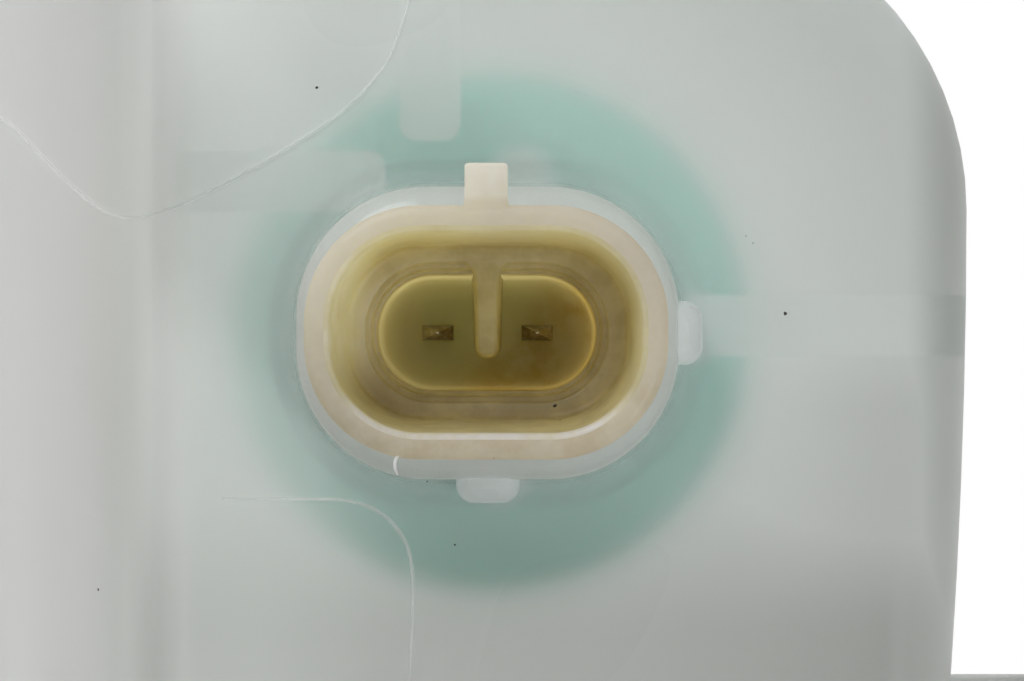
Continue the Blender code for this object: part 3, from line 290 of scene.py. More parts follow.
# Looks of the milky wall
TRANSLUCENT_SHARE = 0.4
CLEAR_SHARE = 0.34
HAZE_OFFSETS = ((0.6 * MM, 9.2 * MM), (13.6 * MM, -0.3 * MM), (2.2 * MM, -10.2 * MM))
HAZE_RADIUS = 2.3 * MM
HAZE_BLUR = 1.6 * MM
RIB_BLUR = 0.35 * MM
# WHITE is the painted light and SHADED the painted shade on the milky wall
WHITE = (0.99, 0.99, 0.985)
SHADED = (0.40, 0.41, 0.385)

# Light
WORLD_STRENGTH = 0.18
FLOOR_HALF = 4.0
FLOOR_DROP = 0.1 * MM

# Places that follow
SUMP_LEFT = -SUMP_LENGTH / 2
SUMP_RIGHT = SUMP_LENGTH / 2
TANK_RIGHT = SUMP_RIGHT + SHELF_LENGTH
FRONT = -TANK_DEPTH / 2
BACK = TANK_DEPTH / 2
SENSOR_X = TANK_RIGHT - SENSOR_FROM_SIDE
SENSOR_Y = FRONT + SENSOR_FROM_FRONT
SENSOR = (SENSOR_X, SENSOR_Y, 0.0)
BOSS_FACE = SHELF_RISE - BOSS_DROP
NECK_RADIUS = NECK_BORE / 2 + NECK_WALL
UNDERSIDE = (SENSOR_X, SENSOR_Y, SHELF_RISE)
MIDDLE = (0, 0, 0.08)

# Lamps: name, place, aim, size and power
LAMPS = (
    ("under_lamp", (SENSOR_X - 0.12, SENSOR_Y - 0.26, -0.14), UNDERSIDE, 0.18, 0.48),
    ("fill_lamp", (SENSOR_X + 0.13, SENSOR_Y + 0.10, -0.18), UNDERSIDE, 0.08, 0.14),
    ("top_lamp", (-0.35, -0.55, 0.85), MIDDLE, 0.7, 5.0),
    ("back_lamp", (0.6, 0.6, 0.7), MIDDLE, 0.6, 2.5),
)


# Shader building blocks


class Shader:
    """The node tree of a material, or of the world, with short calls for the nodes that are used."""

    def __init__(self, name, world=False):
        self.owner = (bpy.data.worlds if world else bpy.data.materials).new(name)
        self.owner.use_nodes = True
        self.tree = self.owner.node_tree
        self.tree.nodes.clear()
        self.out = self.add("ShaderNodeOutputWorld" if world else "ShaderNodeOutputMaterial")
        self.coords = self.add("ShaderNodeTexCoord").outputs["Object"]

    def add(self, kind, inputs=None, **settings):
        """A node with its settings, and its inputs by name or number."""
        node = self.tree.nodes.new(kind)
        for name, value in settings.items():
            setattr(node, name, value)
        for key, value in (inputs or {}).items():
            self.put(node.inputs[key], value)
        return node

    def put(self, socket, value):
        """Links an output to a socket, or sets the socket's own value."""
        if isinstance(value, bpy.types.NodeSocket):
            self.tree.links.new(value, socket)
        elif isinstance(value, tuple) and len(value) == 3 and socket.type == "RGBA":
            socket.default_value = (*value, 1.0)
        else:
            socket.default_value = value

    def math(self, operation, first, second=0.0):
        return self.add("ShaderNodeMath", {0: first, 1: second}, operation=operation).outputs[0]

    def product(self, first, *others):
        for other in others:
            first = self.math("MULTIPLY", first, other)
        return first

    def axes(self):
        """X, Y and Z of the shaded point, from its piece's own origin."""
        return self.add("ShaderNodeSeparateXYZ", {0: self.coords}).outputs

    def ramp(self, value, low, high, start=0.0, end=1.0, smooth=True):
        """Maps a value from low..high to start..end, held outside."""
        inputs = {"Value": value, "From Min": low, "From Max": high, "To Min": start, "To Max": end}
        kind = "SMOOTHSTEP" if smooth else "LINEAR"
        return self.add("ShaderNodeMapRange", inputs, clamp=True, interpolation_type=kind).outputs["Result"]

    def noise(self, scale, detail=3.0, roughness=0.5, stretch=None):
        vector = self.coords
        if stretch:
            vector = self.add("ShaderNodeMapping", {"Vector": vector, "Scale": stretch}).outputs[0]
        inputs = {"Vector": vector, "Scale": scale, "Detail": detail, "Roughness": roughness}
        return self.add("ShaderNodeTexNoise", inputs).outputs["Fac"]

    def mix_colour(self, share, first, second):
        return self.add("ShaderNodeMix", {0: share, 6: first, 7: second}, data_type="RGBA").outputs[2]

    def bump(self, height, depth):
        inputs = {"Strength": 1.0, "Distance": depth, "Height": height}
        return self.add("ShaderNodeBump", inputs).outputs[0]

    def principled(self, colour, roughness, normal=None, **others):
        inputs = {"Base Color": colour, "Roughness": roughness}
        if normal is not None:
            inputs["Normal"] = normal
        for name, value in others.items():
            inputs[name.replace("_", " ")] = value
        return self.add("ShaderNodeBsdfPrincipled", inputs).outputs[0]

    def mix_shader(self, share, first, second):
        return self.add("ShaderNodeMixShader", {0: share, 1: first, 2: second}).outputs[0]

    def translucent(self, colour):
        return self.add("ShaderNodeBsdfTranslucent", {"Color": colour}).outputs[0]

    def transparent(self):
        return self.add("ShaderNodeBsdfTransparent").outputs[0]

    def finish(self, surface):
        self.put(self.out.inputs["Surface"], surface)
        return self.owner


def bar_mask(shader, x, y, low, high, corner, blur):
    """1 inside a rounded rectangle in plan and 0 outside, over a soft edge."""
    distances = []
    for value, a, b in ((x, low[0], high[0]), (y, low[1], high[1])):
        away = shader.math("ABSOLUTE", shader.math("SUBTRACT", value, (a + b) / 2))
        distances.append(shader.math("SUBTRACT", away, (b - a) / 2 - corner))
    outside = []
    for distance in distances:
        positive = shader.math("MAXIMUM", distance, 0.0)
        outside.append(shader.math("MULTIPLY", positive, positive))
    reach = shader.math("SQRT", shader.math("ADD", outside[0], outside[1]))
    return shader.ramp(reach, corner - blur / 2, corner + blur / 2, 1.0, 0.0)


def blob_mask(shader, x, y, centre, radius, blur):
    """1 inside a circle in plan and 0 outside, over a soft edge."""
    squares = []
    for value, middle in ((x, centre[0]), (y, centre[1])):
        away = shader.math("SUBTRACT", value, middle)
        squares.append(shader.math("MULTIPLY", away, away))
    reach = shader.math("SQRT", shader.math("ADD", squares[0], squares[1]))
    return shader.ramp(reach, radius - blur / 2, radius + blur / 2, 1.0, 0.0)


def milky_plastic():
    """Cloudy natural plastic: it scatters light through, and blurs what lies close behind it.

    Where a rib, lug or thick edge stands behind the wall, less of the inside shows. Painted shade darkens
    the shelf's underside towards the back, beside the plug and at the right edge; painted light brightens
    everything near the bottom and the shelf beside the step.
    """
    shader = Shader("milky_plastic")
    x, y, z = shader.axes()
    cloud = shader.noise(38, 1.0, 0.55)
    streak = shader.noise(26, 1.0, 0.6, stretch=(0.35, 1.0, 1.6))
    tint = shader.mix_colour(shader.ramp(cloud, 0.3, 0.7), (0.85, 0.86, 0.845), (0.89, 0.90, 0.885))
    tint = shader.mix_colour(shader.ramp(streak, 0.45, 0.75, 0.0, 0.35), tint, (0.84, 0.85, 0.825))
    normal = shader.bump(shader.noise(120, 1.0), 0.05 * MM)
    roughness = shader.ramp(cloud, 0.3, 0.7, 0.27, 0.36)
    side = TANK_RIGHT + WALL
    front_x = SENSOR_X + FRONT_RIB_OFFSET
    side_y = SENSOR_Y + SIDE_RIB_OFFSET
    step_y = SENSOR_Y + STEP_RIB_OFFSET
    bars = (
        ((front_x - RIB_HALF_WIDTH, FRONT - WALL), (front_x + RIB_HALF_WIDTH, SENSOR_Y - RIB_START)),
        ((SENSOR_X + RIB_START, side_y - RIB_HALF_WIDTH), (side, side_y + RIB_HALF_WIDTH)),
        ((SUMP_RIGHT - WALL, step_y - RIB_HALF_WIDTH), (SENSOR_X - STEP_RIB_END, step_y + RIB_HALF_WIDTH)),
    )
    ribs = 0.0
    for low, high in bars:
        ribs = shader.math("MAXIMUM", ribs, bar_mask(shader, x, y, low, high, RIB_ROUND, RIB_BLUR))
    for dx, dy in HAZE_OFFSETS:
        lug = blob_mask(shader, x, y, (SENSOR_X + dx, SENSOR_Y + dy), HAZE_RADIUS, HAZE_BLUR)
        ribs = shader.math("MAXIMUM", ribs, lug)
    under = shader.ramp(z, SHELF_RISE + 6 * MM, SHELF_RISE + 12 * MM, 1.0, 0.0)
    low_down = shader.ramp(z, RIB_TOP - 0.3 * MM, RIB_TOP + 0.3 * MM, 1.0, 0.0)
    above_boss = shader.ramp(z, SHELF_RISE - 1.0 * MM, SHELF_RISE - 0.2 * MM)
    ribs = shader.product(ribs, shader.product(low_down, above_boss))
    shelf = shader.ramp(z, 8 * MM, 22 * MM)
    # Painted shade: the shelf's underside darker towards the back, beside the plug and towards the right edge
    far = shader.ramp(y, SENSOR_Y + 9 * MM, SENSOR_Y + 21 * MM, 0.0, 1.0)
    far = shader.product(far, shader.ramp(x, SENSOR_X - 17 * MM, SENSOR_X - 3 * MM, 0.3, 1.0))
    beside = shader.ramp(x, SENSOR_X + 13 * MM, SENSOR_X + 26 * MM, 0.0, 0.35)
    beside = shader.product(beside, shader.ramp(y, SENSOR_Y, SENSOR_Y + 6 * MM))
    edge = shader.ramp(x, TANK_RIGHT - 6 * MM, TANK_RIGHT - 2 * MM, 0.0, 1.0)
    painted_shade = shader.math("MAXIMUM", shader.math("MAXIMUM", far, edge), beside)
    painted_shade = shader.product(painted_shade, shader.product(shelf, under))
    tint = shader.mix_colour(painted_shade, tint, SHADED)
    # Painted light: everything within 12 mm of the bottom lighter, most at the bottom
    tint = shader.mix_colour(shader.ramp(z, 2 * MM, 12 * MM, 0.45, 0.0), tint, WHITE)
    # Painted light: the shelf's underside lighter beside the step, lifting the shade the deep block casts
    # there
    left = shader.ramp(x, SUMP_RIGHT + 5 * MM, SUMP_RIGHT + 14 * MM, 0.5, 0.0)
    left = shader.product(left, shader.ramp(y, SENSOR_Y + 3 * MM, SENSOR_Y + 15 * MM, 1.0, 0.0))
    tint = shader.mix_colour(shader.product(left, shelf), tint, WHITE)
    tint = shader.mix_colour(shader.product(ribs, 0.3), tint, (0.97, 0.97, 0.96))
    body = shader.principled(tint, roughness, normal)
    body = shader.mix_shader(TRANSLUCENT_SHARE, body, shader.translucent(tint))
    boss = shader.ramp(z, SHELF_RISE - 1.5 * MM, SHELF_RISE, 0.35, 1.0)
    corner = shader.ramp(x, SUMP_RIGHT + 4 * MM, SUMP_RIGHT + 19 * MM, 0.45, 1.0)
    clear = shader.math("SUBTRACT", 1.0, shader.product(ribs, 0.8))
    clear = shader.product(clear, boss, corner, CLEAR_SHARE)
    blurred = {"Color": (0.86, 0.86, 0.85), "Roughness": 0.72, "IOR": 1.3}
    inside = shader.add("ShaderNodeBsdfRefraction", blurred)
    return shader.finish(shader.mix_shader(clear, body, inside.outputs[0]))


def inner_face():
    """The wall's inner face, clear but for a few hazy patches."""
    shader = Shader("milky_inner_face")
    haze = shader.translucent((0.85, 0.87, 0.86))
    patches = shader.ramp(shader.noise(40, 0.0), 0.62, 0.8, 0.0, 0.05)
    return shader.finish(shader.mix_shader(patches, shader.transparent(), haze))


def ivory(name, tint, depth, glow, roughness, fleck, through):
    """Ivory moulded plastic that light soaks into, so its thin walls glow; the amber of its hollows is
    painted into the tints passed in.
    """
    shader = Shader(name)
    mottle = shader.noise(420, 4.0, 0.6)
    colour = shader.mix_colour(shader.ramp(mottle, 0.35, 0.65, 0.0, 0.5), tint(shader), fleck)
    normal = shader.bump(shader.noise(1500, 3.0), 0.02 * MM)
    body = shader.principled(
        colour, roughness, normal, Subsurface_Weight=1.0, Subsurface_Radius=glow, Subsurface_Scale=depth
    )
    return shader.finish(shader.mix_shader(through, body, shader.translucent(colour)))


def ivory_plastic():
    """The plug's outside, pinker in places, with painted shade darkening the rim towards the back and painted
    light on the lock tab.
    """
    def tint(shader):
        y = shader.axes()[1]
        mottled = shader.ramp(shader.noise(90, 2.0), 0.4, 0.7)
        rim = shader.mix_colour(mottled, (0.86, 0.81, 0.68), (0.84, 0.775, 0.67))
        # Painted shade: the rim darker towards the back
        rim = shader.mix_colour(shader.ramp(y, -4 * MM, 8 * MM, 0.0, 0.9), rim, (0.68, 0.61, 0.49))
        # Painted light: the lock tab lighter than the rim
        front = -SHROUD_DEPTH / 2
        tab = shader.ramp(y, front - 0.7 * MM, front - 0.1 * MM, 0.9, 0.0)
        return shader.mix_colour(tab, rim, (0.99, 0.975, 0.90))

    return ivory("ivory_plastic", tint, 7 * MM, (1.0, 0.85, 0.6), 0.42, (0.90, 0.85, 0.74), 0.45)


def ivory_inside():
    """The socket's inside: a painted olive glow that darkens with depth, painted light on its left, painted
    shade towards the back, and a painted highlight on the edge at the back.
    """
    def tint(shader):
        x, y, z = shader.axes()
        # Painted glow and shade: olive, darker the deeper in
        lit = shader.mix_colour(shader.ramp(z, RIM, LEDGE), (0.86, 0.80, 0.56), (0.52, 0.455, 0.215))
        # Painted light on the left
        lit = shader.mix_colour(shader.ramp(x, -9 * MM, -6 * MM, 0.7, 0.0), lit, (0.98, 0.93, 0.74))
        # Painted shade towards the back
        lit = shader.mix_colour(shader.ramp(y, 0.0, 5.5 * MM, 0.0, 0.9), lit, (0.47, 0.41, 0.23))
        # Painted highlight on the inner edge at the back, near the rim
        edge = shader.ramp(z, RIM + 0.4 * MM, RIM + 1.3 * MM, 1.0, 0.0)
        edge = shader.product(edge, shader.ramp(y, 3 * MM, 5.5 * MM))
        return shader.mix_colour(edge, lit, (0.97, 0.95, 0.90))

    return ivory("ivory_socket", tint, 8 * MM, (1.0, 0.9, 0.5), 0.38, (0.74, 0.66, 0.38), 0.35)


def ivory_well():
    """The contact well, amber at its lip and brown at its floor, in a painted glow: lighter towards low X and
    Y and darker towards high X and Y.
    """
    def tint(shader):
        x, y, z = shader.axes()
        # Painted light and shade: lighter towards low X and Y, darker towards high X and Y
        across = shader.ramp(shader.math("ADD", x, y), -2 * MM, 5 * MM)
        wall = shader.mix_colour(across, (0.999, 0.93, 0.50), (0.84, 0.62, 0.16))
        floor = shader.mix_colour(across, (0.995, 0.87, 0.40), (0.76, 0.53, 0.16))
        deep = shader.mix_colour(shader.ramp(z, LEDGE + 1.2 * MM, WELL_BOTTOM), wall, floor)
        return shader.mix_colour(shader.ramp(z, LEDGE, LEDGE + 1.2 * MM), (0.86, 0.72, 0.40), deep)

    return ivory("ivory_well", tint, 24 * MM, (1.0, 0.85, 0.5), 0.4, (0.98, 0.84, 0.44), 0.85)


def thick_milky():
    """The milky plastic where it is thick: bluish white, grained, with a painted highlight towards its left,
    thinning out where it meets the wall.
    """
    shader = Shader("milky_thick")
    tint = shader.mix_colour(shader.noise(60, 1.0), (0.88, 0.915, 0.91), (0.95, 0.97, 0.965))
    # Painted highlight: whiter towards the left of the boss
    lit = shader.ramp(shader.axes()[0], SENSOR_X - 12 * MM, SENSOR_X - 7 * MM, 0.9, 0.0)
    tint = shader.mix_colour(lit, tint, (0.99, 0.998, 0.995))
    grain = shader.noise(4200, 1.0, 0.7)
    normal = shader.bump(shader.ramp(grain, 0.3, 0.7), 0.03 * MM)
    body = shader.principled(tint, 0.26, normal, Coat_Weight=1.0, Coat_Roughness=0.1)
    body = shader.mix_shader(0.6, body, shader.translucent(tint))
    root = SHELF_RISE - 2.4 * MM, SHELF_RISE - 0.05 * MM
    thin = shader.ramp(shader.axes()[2], *root, 0.08, 1.0, smooth=False)
    return shader.finish(shader.mix_shader(thin, body, shader.transparent()))


def plain(name, pattern, span, tints, roughness, depth=0.0, relief=None, **extras):
    """A finish whose tint, and roughness where it is a ramp, follow one noise, with a fine relief.

    The relief is another noise, or the same one where none is given.
    """
    shader = Shader(name)
    field = shader.noise(*pattern)
    tint = shader.mix_colour(shader.ramp(field, *span) if span else field, *tints)
    if isinstance(roughness, tuple):
        roughness = shader.ramp(field, *roughness)
    normal = None
    if depth:
        normal = shader.bump(shader.noise(*relief) if relief else field, depth)
    return shader.finish(shader.principled(tint, roughness, normal, **extras))


def plain_finishes():
    """The finishes that take no part in the glow round the plug, by name."""
    teal = (0.13, 0.66, 0.53), (0.18, 0.78, 0.64)
    black = (0.012, 0.012, 0.013), (0.03, 0.03, 0.031)
    grey = (0.22, 0.23, 0.24), (0.27, 0.28, 0.29)
    soot = (0.014, 0.014, 0.014), (0.045, 0.044, 0.042)
    silver = (0.48, 0.49, 0.51), (0.60, 0.61, 0.62)
    gold = (0.24, 0.20, 0.11), (0.42, 0.37, 0.25)
    slate = (0.045, 0.045, 0.05), (0.08, 0.08, 0.085)
    glass = (0.50, 0.62, 0.56), (0.62, 0.72, 0.66)
    dust = (0.02, 0.02, 0.02), (0.06, 0.05, 0.045)
    etched = (1800, 4.0, 0.65)
    worn, rubbed, drawn = (0.35, 0.7, 0.38, 0.55), (0.35, 0.7, 0.62, 0.85), (0.35, 0.65, 0.25, 0.38)
    along = (1.0, 1.0, 8.0)
    return {
        "teal": plain("teal_plastic", (700, 2.0), (0.35, 0.65), teal, 0.6, 0.08 * MM),
        "black": plain("black_plastic", (60, 4.0, 0.6), (0.4, 0.75), black, worn, 0.05 * MM, etched),
        "grey": plain("grey_plastic", (900, 3.0), (0.4, 0.6), grey, 0.45, 0.03 * MM),
        "rubber": plain("black_rubber", (150, 5.0, 0.65), (0.4, 0.75), soot, rubbed, 0.06 * MM, (1200,)),
        "steel": plain("steel", (500, 3.0, 0.6, along), (0.35, 0.65), silver, drawn, 0.01 * MM, Metallic=1.0),
        "brass": plain("tinned_brass", (1600, 4.0, 0.6), (0.4, 0.65), gold, 0.36, 0.01 * MM, Metallic=0.75),
        "ferrite": plain("ferrite", (1400, 4.0), None, slate, 0.6, 0.04 * MM),
        "glass": plain("reed_glass", (400, 2.0), None, glass, 0.08, Transmission_Weight=0.85),
        "dirt": plain("speck_dirt", (3000, 2.0), None, dust, 0.7),
    }


def thin_flash(name, see_through):
    """Slivers and raised lines of the milky plastic, whiter because they are thin."""
    shader = Shader(name)
    tint = shader.mix_colour(shader.noise(800, 2.0), (0.95, 0.96, 0.96), (1.0, 1.0, 1.0))
    body = shader.principled(tint, 0.35)
    body = shader.mix_shader(0.5, body, shader.translucent(tint))
    return shader.finish(shader.mix_shader(see_through, body, shader.transparent()))


# Mesh building blocks


def link(name, data, location=(0, 0, 0), rotation=(0, 0, 0)):
    obj = bpy.data.objects.new(name, data)
    obj.location = location
    obj.rotation_euler = rotation
    bpy.context.scene.collection.objects.link(obj)
    return obj


def smooth(mesh):
    mesh.shade_smooth()
    mesh.set_sharp_from_angle(angle=SHARP_ANGLE)


def add_object(mesh, materials, location=(0, 0, 0), rotation=(0, 0, 0)):
    """An object with its mesh's name."""
    obj = link(mesh.name, mesh, location, rotation)
    for material in materials:
        mesh.materials.append(material)
    smooth(mesh)
    return obj


def to_mesh(work, name):
    """A mesh from a bmesh, which is freed."""
    mesh = bpy.data.meshes.new(name)
    work.to_mesh(mesh)
    work.free()
    return mesh


def skin(name, rings, looped=False, slots=None):
    """A closed surface through rings of equally many points, with a material slot for each band."""
    work = bmesh.new()
    loops = [[work.verts.new(point) for point in ring] for ring in rings]
    pairs = list(zip(loops, loops[1:]))
    if looped:
        pairs.append((loops[-1], loops[0]))
    else:
        first = work.faces.new(reversed(loops[0]))
        last = work.faces.new(loops[-1])
        if slots:
            first.material_index = slots[0]
            last.material_index = slots[-1]
    for band, (low, high) in enumerate(pairs):
        for i in range(len(low)):
            j = (i + 1) % len(low)
            face = work.faces.new((low[i], low[j], high[j], high[i]))
            if slots:
                face.material_index = slots[band]
    bmesh.ops.remove_doubles(work, verts=work.verts, dist=1e-7)
    bmesh.ops.dissolve_degenerate(work, edges=work.edges, dist=1e-7)
    bmesh.ops.recalc_face_normals(work, faces=work.faces)
    return to_mesh(work, name)


def circle(radius, height, steps=ROUND_STEPS, start=0.0):
    turns = [start + 2 * math.pi * i / steps for i in range(steps)]
    return [(radius * math.cos(t), radius * math.sin(t), height) for t in turns]


def turned(name, profile, steps=ROUND_STEPS, looped=False):
    """A turned solid from (radius, height) points: looped for a ring, else capped at both ends."""
    return skin(name, [circle(radius, height, steps) for radius, height in profile], looped)


def arc(centre_x, centre_y, radius, start, sweep, steps):
    """Points on an arc, angles in degrees."""
    angles = [math.radians(start + sweep * i / steps) for i in range(steps + 1)]
    return [(centre_x + radius * math.cos(a), centre_y + radius * math.sin(a)) for a in angles]


def rounded(profile, radius, steps=4, looped=True):
    """A profile with each of its corners rounded, by at most half of the shorter side beside it."""
    points = [Vector(p) for p in profile]
    count = len(points)
    result = []
    for i, here in enumerate(points):
        if not looped and i in (0, count - 1):
            result.append(tuple(here))
            continue
        before, after = points[i - 1] - here, points[(i + 1) % count] - here
        cut = min(radius, 0.45 * before.length, 0.45 * after.length)
        start, end = here + before.normalized() * cut, here + after.normalized() * cut
        for step in range(steps + 1):
            t = step / steps
            result.append(tuple(start * (1 - t) ** 2 + here * 2 * t * (1 - t) + end * t * t))
    return result


def at_height(outline, height):
    return [(x, y, height) for x, y in outline]


def prism(name, outline, bottom, top):
    return skin(name, [at_height(outline, bottom), at_height(outline, top)])


def slab(name, outline, centre, thickness, axis):
    """A plate with its outline in the plane square to X or Y, as (across, height) points."""
    rings = []
    for place in (centre - thickness / 2, centre + thickness / 2):
        ring = [(place, across, height) for across, height in outline]
        rings.append(ring if axis == "X" else [(across, place, height) for place, across, height in ring])
    return skin(name, rings)


def box_mesh(name, low, high):
    outline = [(low[0], low[1]), (high[0], low[1]), (high[0], high[1]), (low[0], high[1])]
    return prism(name, outline, low[2], high[2])


def oval(width, depth, corner, steps=OVAL_STEPS):
    """A rectangle with its corners rounded, about the origin, as 4 * (steps + 1) points."""
    x, y = width / 2 - corner, depth / 2 - corner
    points = arc(x, -y, corner, -90, 90, steps)
    points += arc(x, y, corner, 0, 90, steps)
    points += arc(-x, y, corner, 90, 90, steps)
    points += arc(-x, -y, corner, 180, 90, steps)
    return points


def bevel(obj, width):
    modifier = obj.modifiers.new("round_edges", "BEVEL")
    modifier.width = width
    modifier.segments = 3
    modifier.limit_method = "ANGLE"
    modifier.angle_limit = BEVEL_ANGLE
    modifier.harden_normals = False
    return obj


def combine(obj, other, operation):
    """Applies a Boolean of another object, which is removed."""
    modifier = obj.modifiers.new(other.name, "BOOLEAN")
    modifier.operation = operation
    modifier.solver = "EXACT"
    if operation == "UNION":
        modifier.material_mode = "TRANSFER"
    modifier.object = other
    settle(obj)
    bpy.data.objects.remove(other, do_unlink=True)


def cut(obj, mesh, location=(0, 0, 0)):
    combine(obj, add_object(mesh, [], location), "DIFFERENCE")


def baked(obj):
    """A copy of an object's mesh with its modifiers applied."""
    graph = bpy.context.evaluated_depsgraph_get()
    return bpy.data.meshes.new_from_object(obj.evaluated_get(graph))


def settle(obj):
    """Applies an object's modifiers to its mesh."""
    mesh = baked(obj)
    obj.modifiers.clear()
    obj.data = mesh
    smooth(mesh)


def join_objects(main, others):
    """Makes others part of the main object's mesh, matching materials by name."""
    work = bmesh.new()
    names = [m.name for m in main.data.materials]
    for obj in [main, *others]:
        mesh = baked(obj)
        for material in mesh.materials:
            if material.name not in names:
                names.append(material.name)
                main.data.materials.append(material)
        table = [names.index(m.name) for m in mesh.materials]
        mesh.transform(main.matrix_basis.inverted() @ obj.matrix_basis)
        start = len(work.faces)
        work.from_mesh(mesh)
        work.faces.ensure_lookup_table()
        for face in work.faces[start:]:
            face.material_index = table[face.material_index] if table else 0
        bpy.data.meshes.remove(mesh)
    materials = list(main.data.materials)
    main.modifiers.clear()
    mesh = to_mesh(work, main.name)
    for material in materials:
        mesh.materials.append(material)
    main.data = mesh
    smooth(mesh)
    for obj in others:
        bpy.data.objects.remove(obj, do_unlink=True)
    return main


# Shells


def draft_inset(height):
    """How far the drafted walls stand in from their size at the weld."""
    return abs(height - WELD_HEIGHT) * math.tan(DRAFT)


def side_drop(y):
    """How far the bowed side lies inside the tank's full length."""
    past = max(0.0, y - (FRONT + PLAN_RADIUS))
    return past * past / (2 * SIDE_BOW_RADIUS)


def end_wall(sense, y, height):
    """X of the outer face of the right end wall (sense 1) or the left one (sense -1)."""
    if sense > 0:
        return TANK_RIGHT - side_drop(y) - draft_inset(height)
    return SUMP_LEFT + draft_inset(height)


def sump_corner(inset):
    return max(SUMP_CORNER - inset, LEAST_ROUND)


def left_end(inset):
    """The outline's points round the left end, from the back to the front."""
    radius = PLAN_RADIUS - inset
    x = SUMP_LEFT + PLAN_RADIUS
    points = arc(x, BACK - PLAN_RADIUS, radius, 90, 90, CORNER_STEPS)
    points += arc(x, FRONT + PLAN_RADIUS, radius, 180, 90, CORNER_STEPS)
    return points


def bowed(points, right):
    """Points of the right end, moved in to follow the bowed side."""
    moved = []
    for x, y in points:
        share = max(0.0, (x - SUMP_RIGHT) / (right - SUMP_RIGHT))
        moved.append((x - side_drop(y) * share, y))
    return moved


def right_end(inset):
    """The whole tank's outline round the right end, from the front to the back."""
    start = SUMP_RIGHT - inset - sump_corner(inset)
    right, front, back = TANK_RIGHT - inset, FRONT + inset, BACK - inset
    radius = PLAN_RADIUS - inset
    turn = right - radius
    run = [start + (turn - start) * i / FADE_STEPS for i in range(FADE_STEPS)]
    points = [(x, front) for x in run]
    points += arc(turn, front + radius, radius, -90, 90, CORNER_STEPS)
    low, high = front + radius, back - radius
    points += [(right, low + (high - low) * i / SIDE_STEPS) for i in range(1, SIDE_STEPS)]
    points += arc(turn, back - radius, radius, 0, 90, CORNER_STEPS)
    points += [(x, back) for x in reversed(run)]
    return bowed(points, right)


def body_outline(inset, edge_inset=0.0):
    """The whole tank in plan, moved in by inset, and by edge_inset more round the shelf."""
    wide, narrow = right_end(inset), right_end(inset + edge_inset)
    count = len(wide)
    points = []
    for i, (outer, inner) in enumerate(zip(wide, narrow)):
        share = min(1.0, i / FADE_STEPS, (count - 1 - i) / FADE_STEPS)
        points.append(tuple(a + (b - a) * share for a, b in zip(outer, inner)))
    return points + left_end(inset)


def sump_outline(inset, flare=0.0):
    """The deep block in plan, with flare added to its side at the step."""
    radius = sump_corner(inset)
    right, front, back = SUMP_RIGHT - inset, FRONT + inset, BACK - inset
    low, high = front + radius, back - radius
    between = 2 * CORNER_STEPS + SIDE_STEPS
    points = arc(right - radius, low, radius, -90, 90, FADE_STEPS)
    points += [(right, low + (high - low) * i / between) for i in range(1, between)]
    points += arc(right - radius, high, radius, 0, 90, FADE_STEPS)
    count = len(points)
    flared = []
    for i, (x, y) in enumerate(points):
        share = min(1.0, i / FADE_STEPS, (count - 1 - i) / FADE_STEPS)
        flared.append((x + flare * share, y))
    return flared + left_end(inset)


def quarter_turns():
    return [math.pi / 2 * i / FILLET_STEPS for i in range(FILLET_STEPS + 1)]


def quarter(radius):
    """Pairs along a quarter round: the first grows from 0 to the radius while the second shrinks to 0."""
    return [(radius * (1 - math.cos(a)), radius * (1 - math.sin(a))) for a in quarter_turns()]


def bottom_edge(offset):
    """(inset, height) points up the deep block's rounded bottom edge."""
    points = [(inset, offset + up) for up, inset in quarter(max(BOTTOM_FILLET - offset, LEAST_ROUND))]
    return [(offset + inset + draft_inset(height), height) for inset, height in points]


def shelf_edge(offset):
    """(edge inset, height) points up the shelf's rounded bottom edge."""
    floor = SHELF_RISE + offset
    return [(inset, floor + up) for up, inset in quarter(max(SHELF_FILLET - offset, LEAST_ROUND))]


def top_edge(offset):
    """(inset, height) points up the upper shell's rounded top edge."""
    roof = TOP_HEIGHT - offset
    points = [(inset, roof - down) for inset, down in quarter(max(TOP_FILLET - offset, LEAST_ROUND))]
    return [(offset + inset + draft_inset(height), height) for inset, height in points]


def lower_skin(offset):
    """Rings up the lower shell's outer face, or its inner face for an offset of one wall."""
    rings = [at_height(sump_outline(inset), height) for inset, height in bottom_edge(offset)]
    shelf = SHELF_RISE + offset
    for flare, drop in quarter(STEP_FILLET + offset):
        height = shelf - drop
        rings.append(at_height(sump_outline(offset + draft_inset(height), flare), height))
    for edge_inset, height in shelf_edge(offset):
        rings.append(at_height(body_outline(offset + draft_inset(height), edge_inset), height))
    return rings


def flange_rings(root, tip):
    """Rings out and round a weld flange, from its root height to its flat joint face at the tip."""
    turn = FLANGE_ROUND if tip > root else -FLANGE_ROUND
    base, reach = draft_inset(root), -FLANGE_REACH
    profile = [
        (base, root - turn),
        (base - FLANGE_ROUND / 3, root - turn / 4),
        (-FLANGE_ROUND, root),
        (reach + FLANGE_ROUND, root),
        (reach + FLANGE_ROUND / 4, root + turn / 4),
        (reach, root + turn),
        (reach, tip - turn / 4),
        (reach + FLANGE_ROUND / 4, tip),
    ]
    return [at_height(body_outline(inset), height) for inset, height in profile]


def tank_lower(milky, inner):
    """The lower shell, with its weld flange, as one wall with a clear inner face."""
    outer = lower_skin(0.0) + flange_rings(WELD_HEIGHT - FLANGE_THICKNESS, WELD_HEIGHT)
    inside = [at_height(body_outline(WALL), WELD_HEIGHT)] + list(reversed(lower_skin(WALL)))
    slots = [0] * len(outer) + [1] * (len(inside) - 1)
    return add_object(skin("tank_lower", outer + inside, slots=slots), [milky, inner])


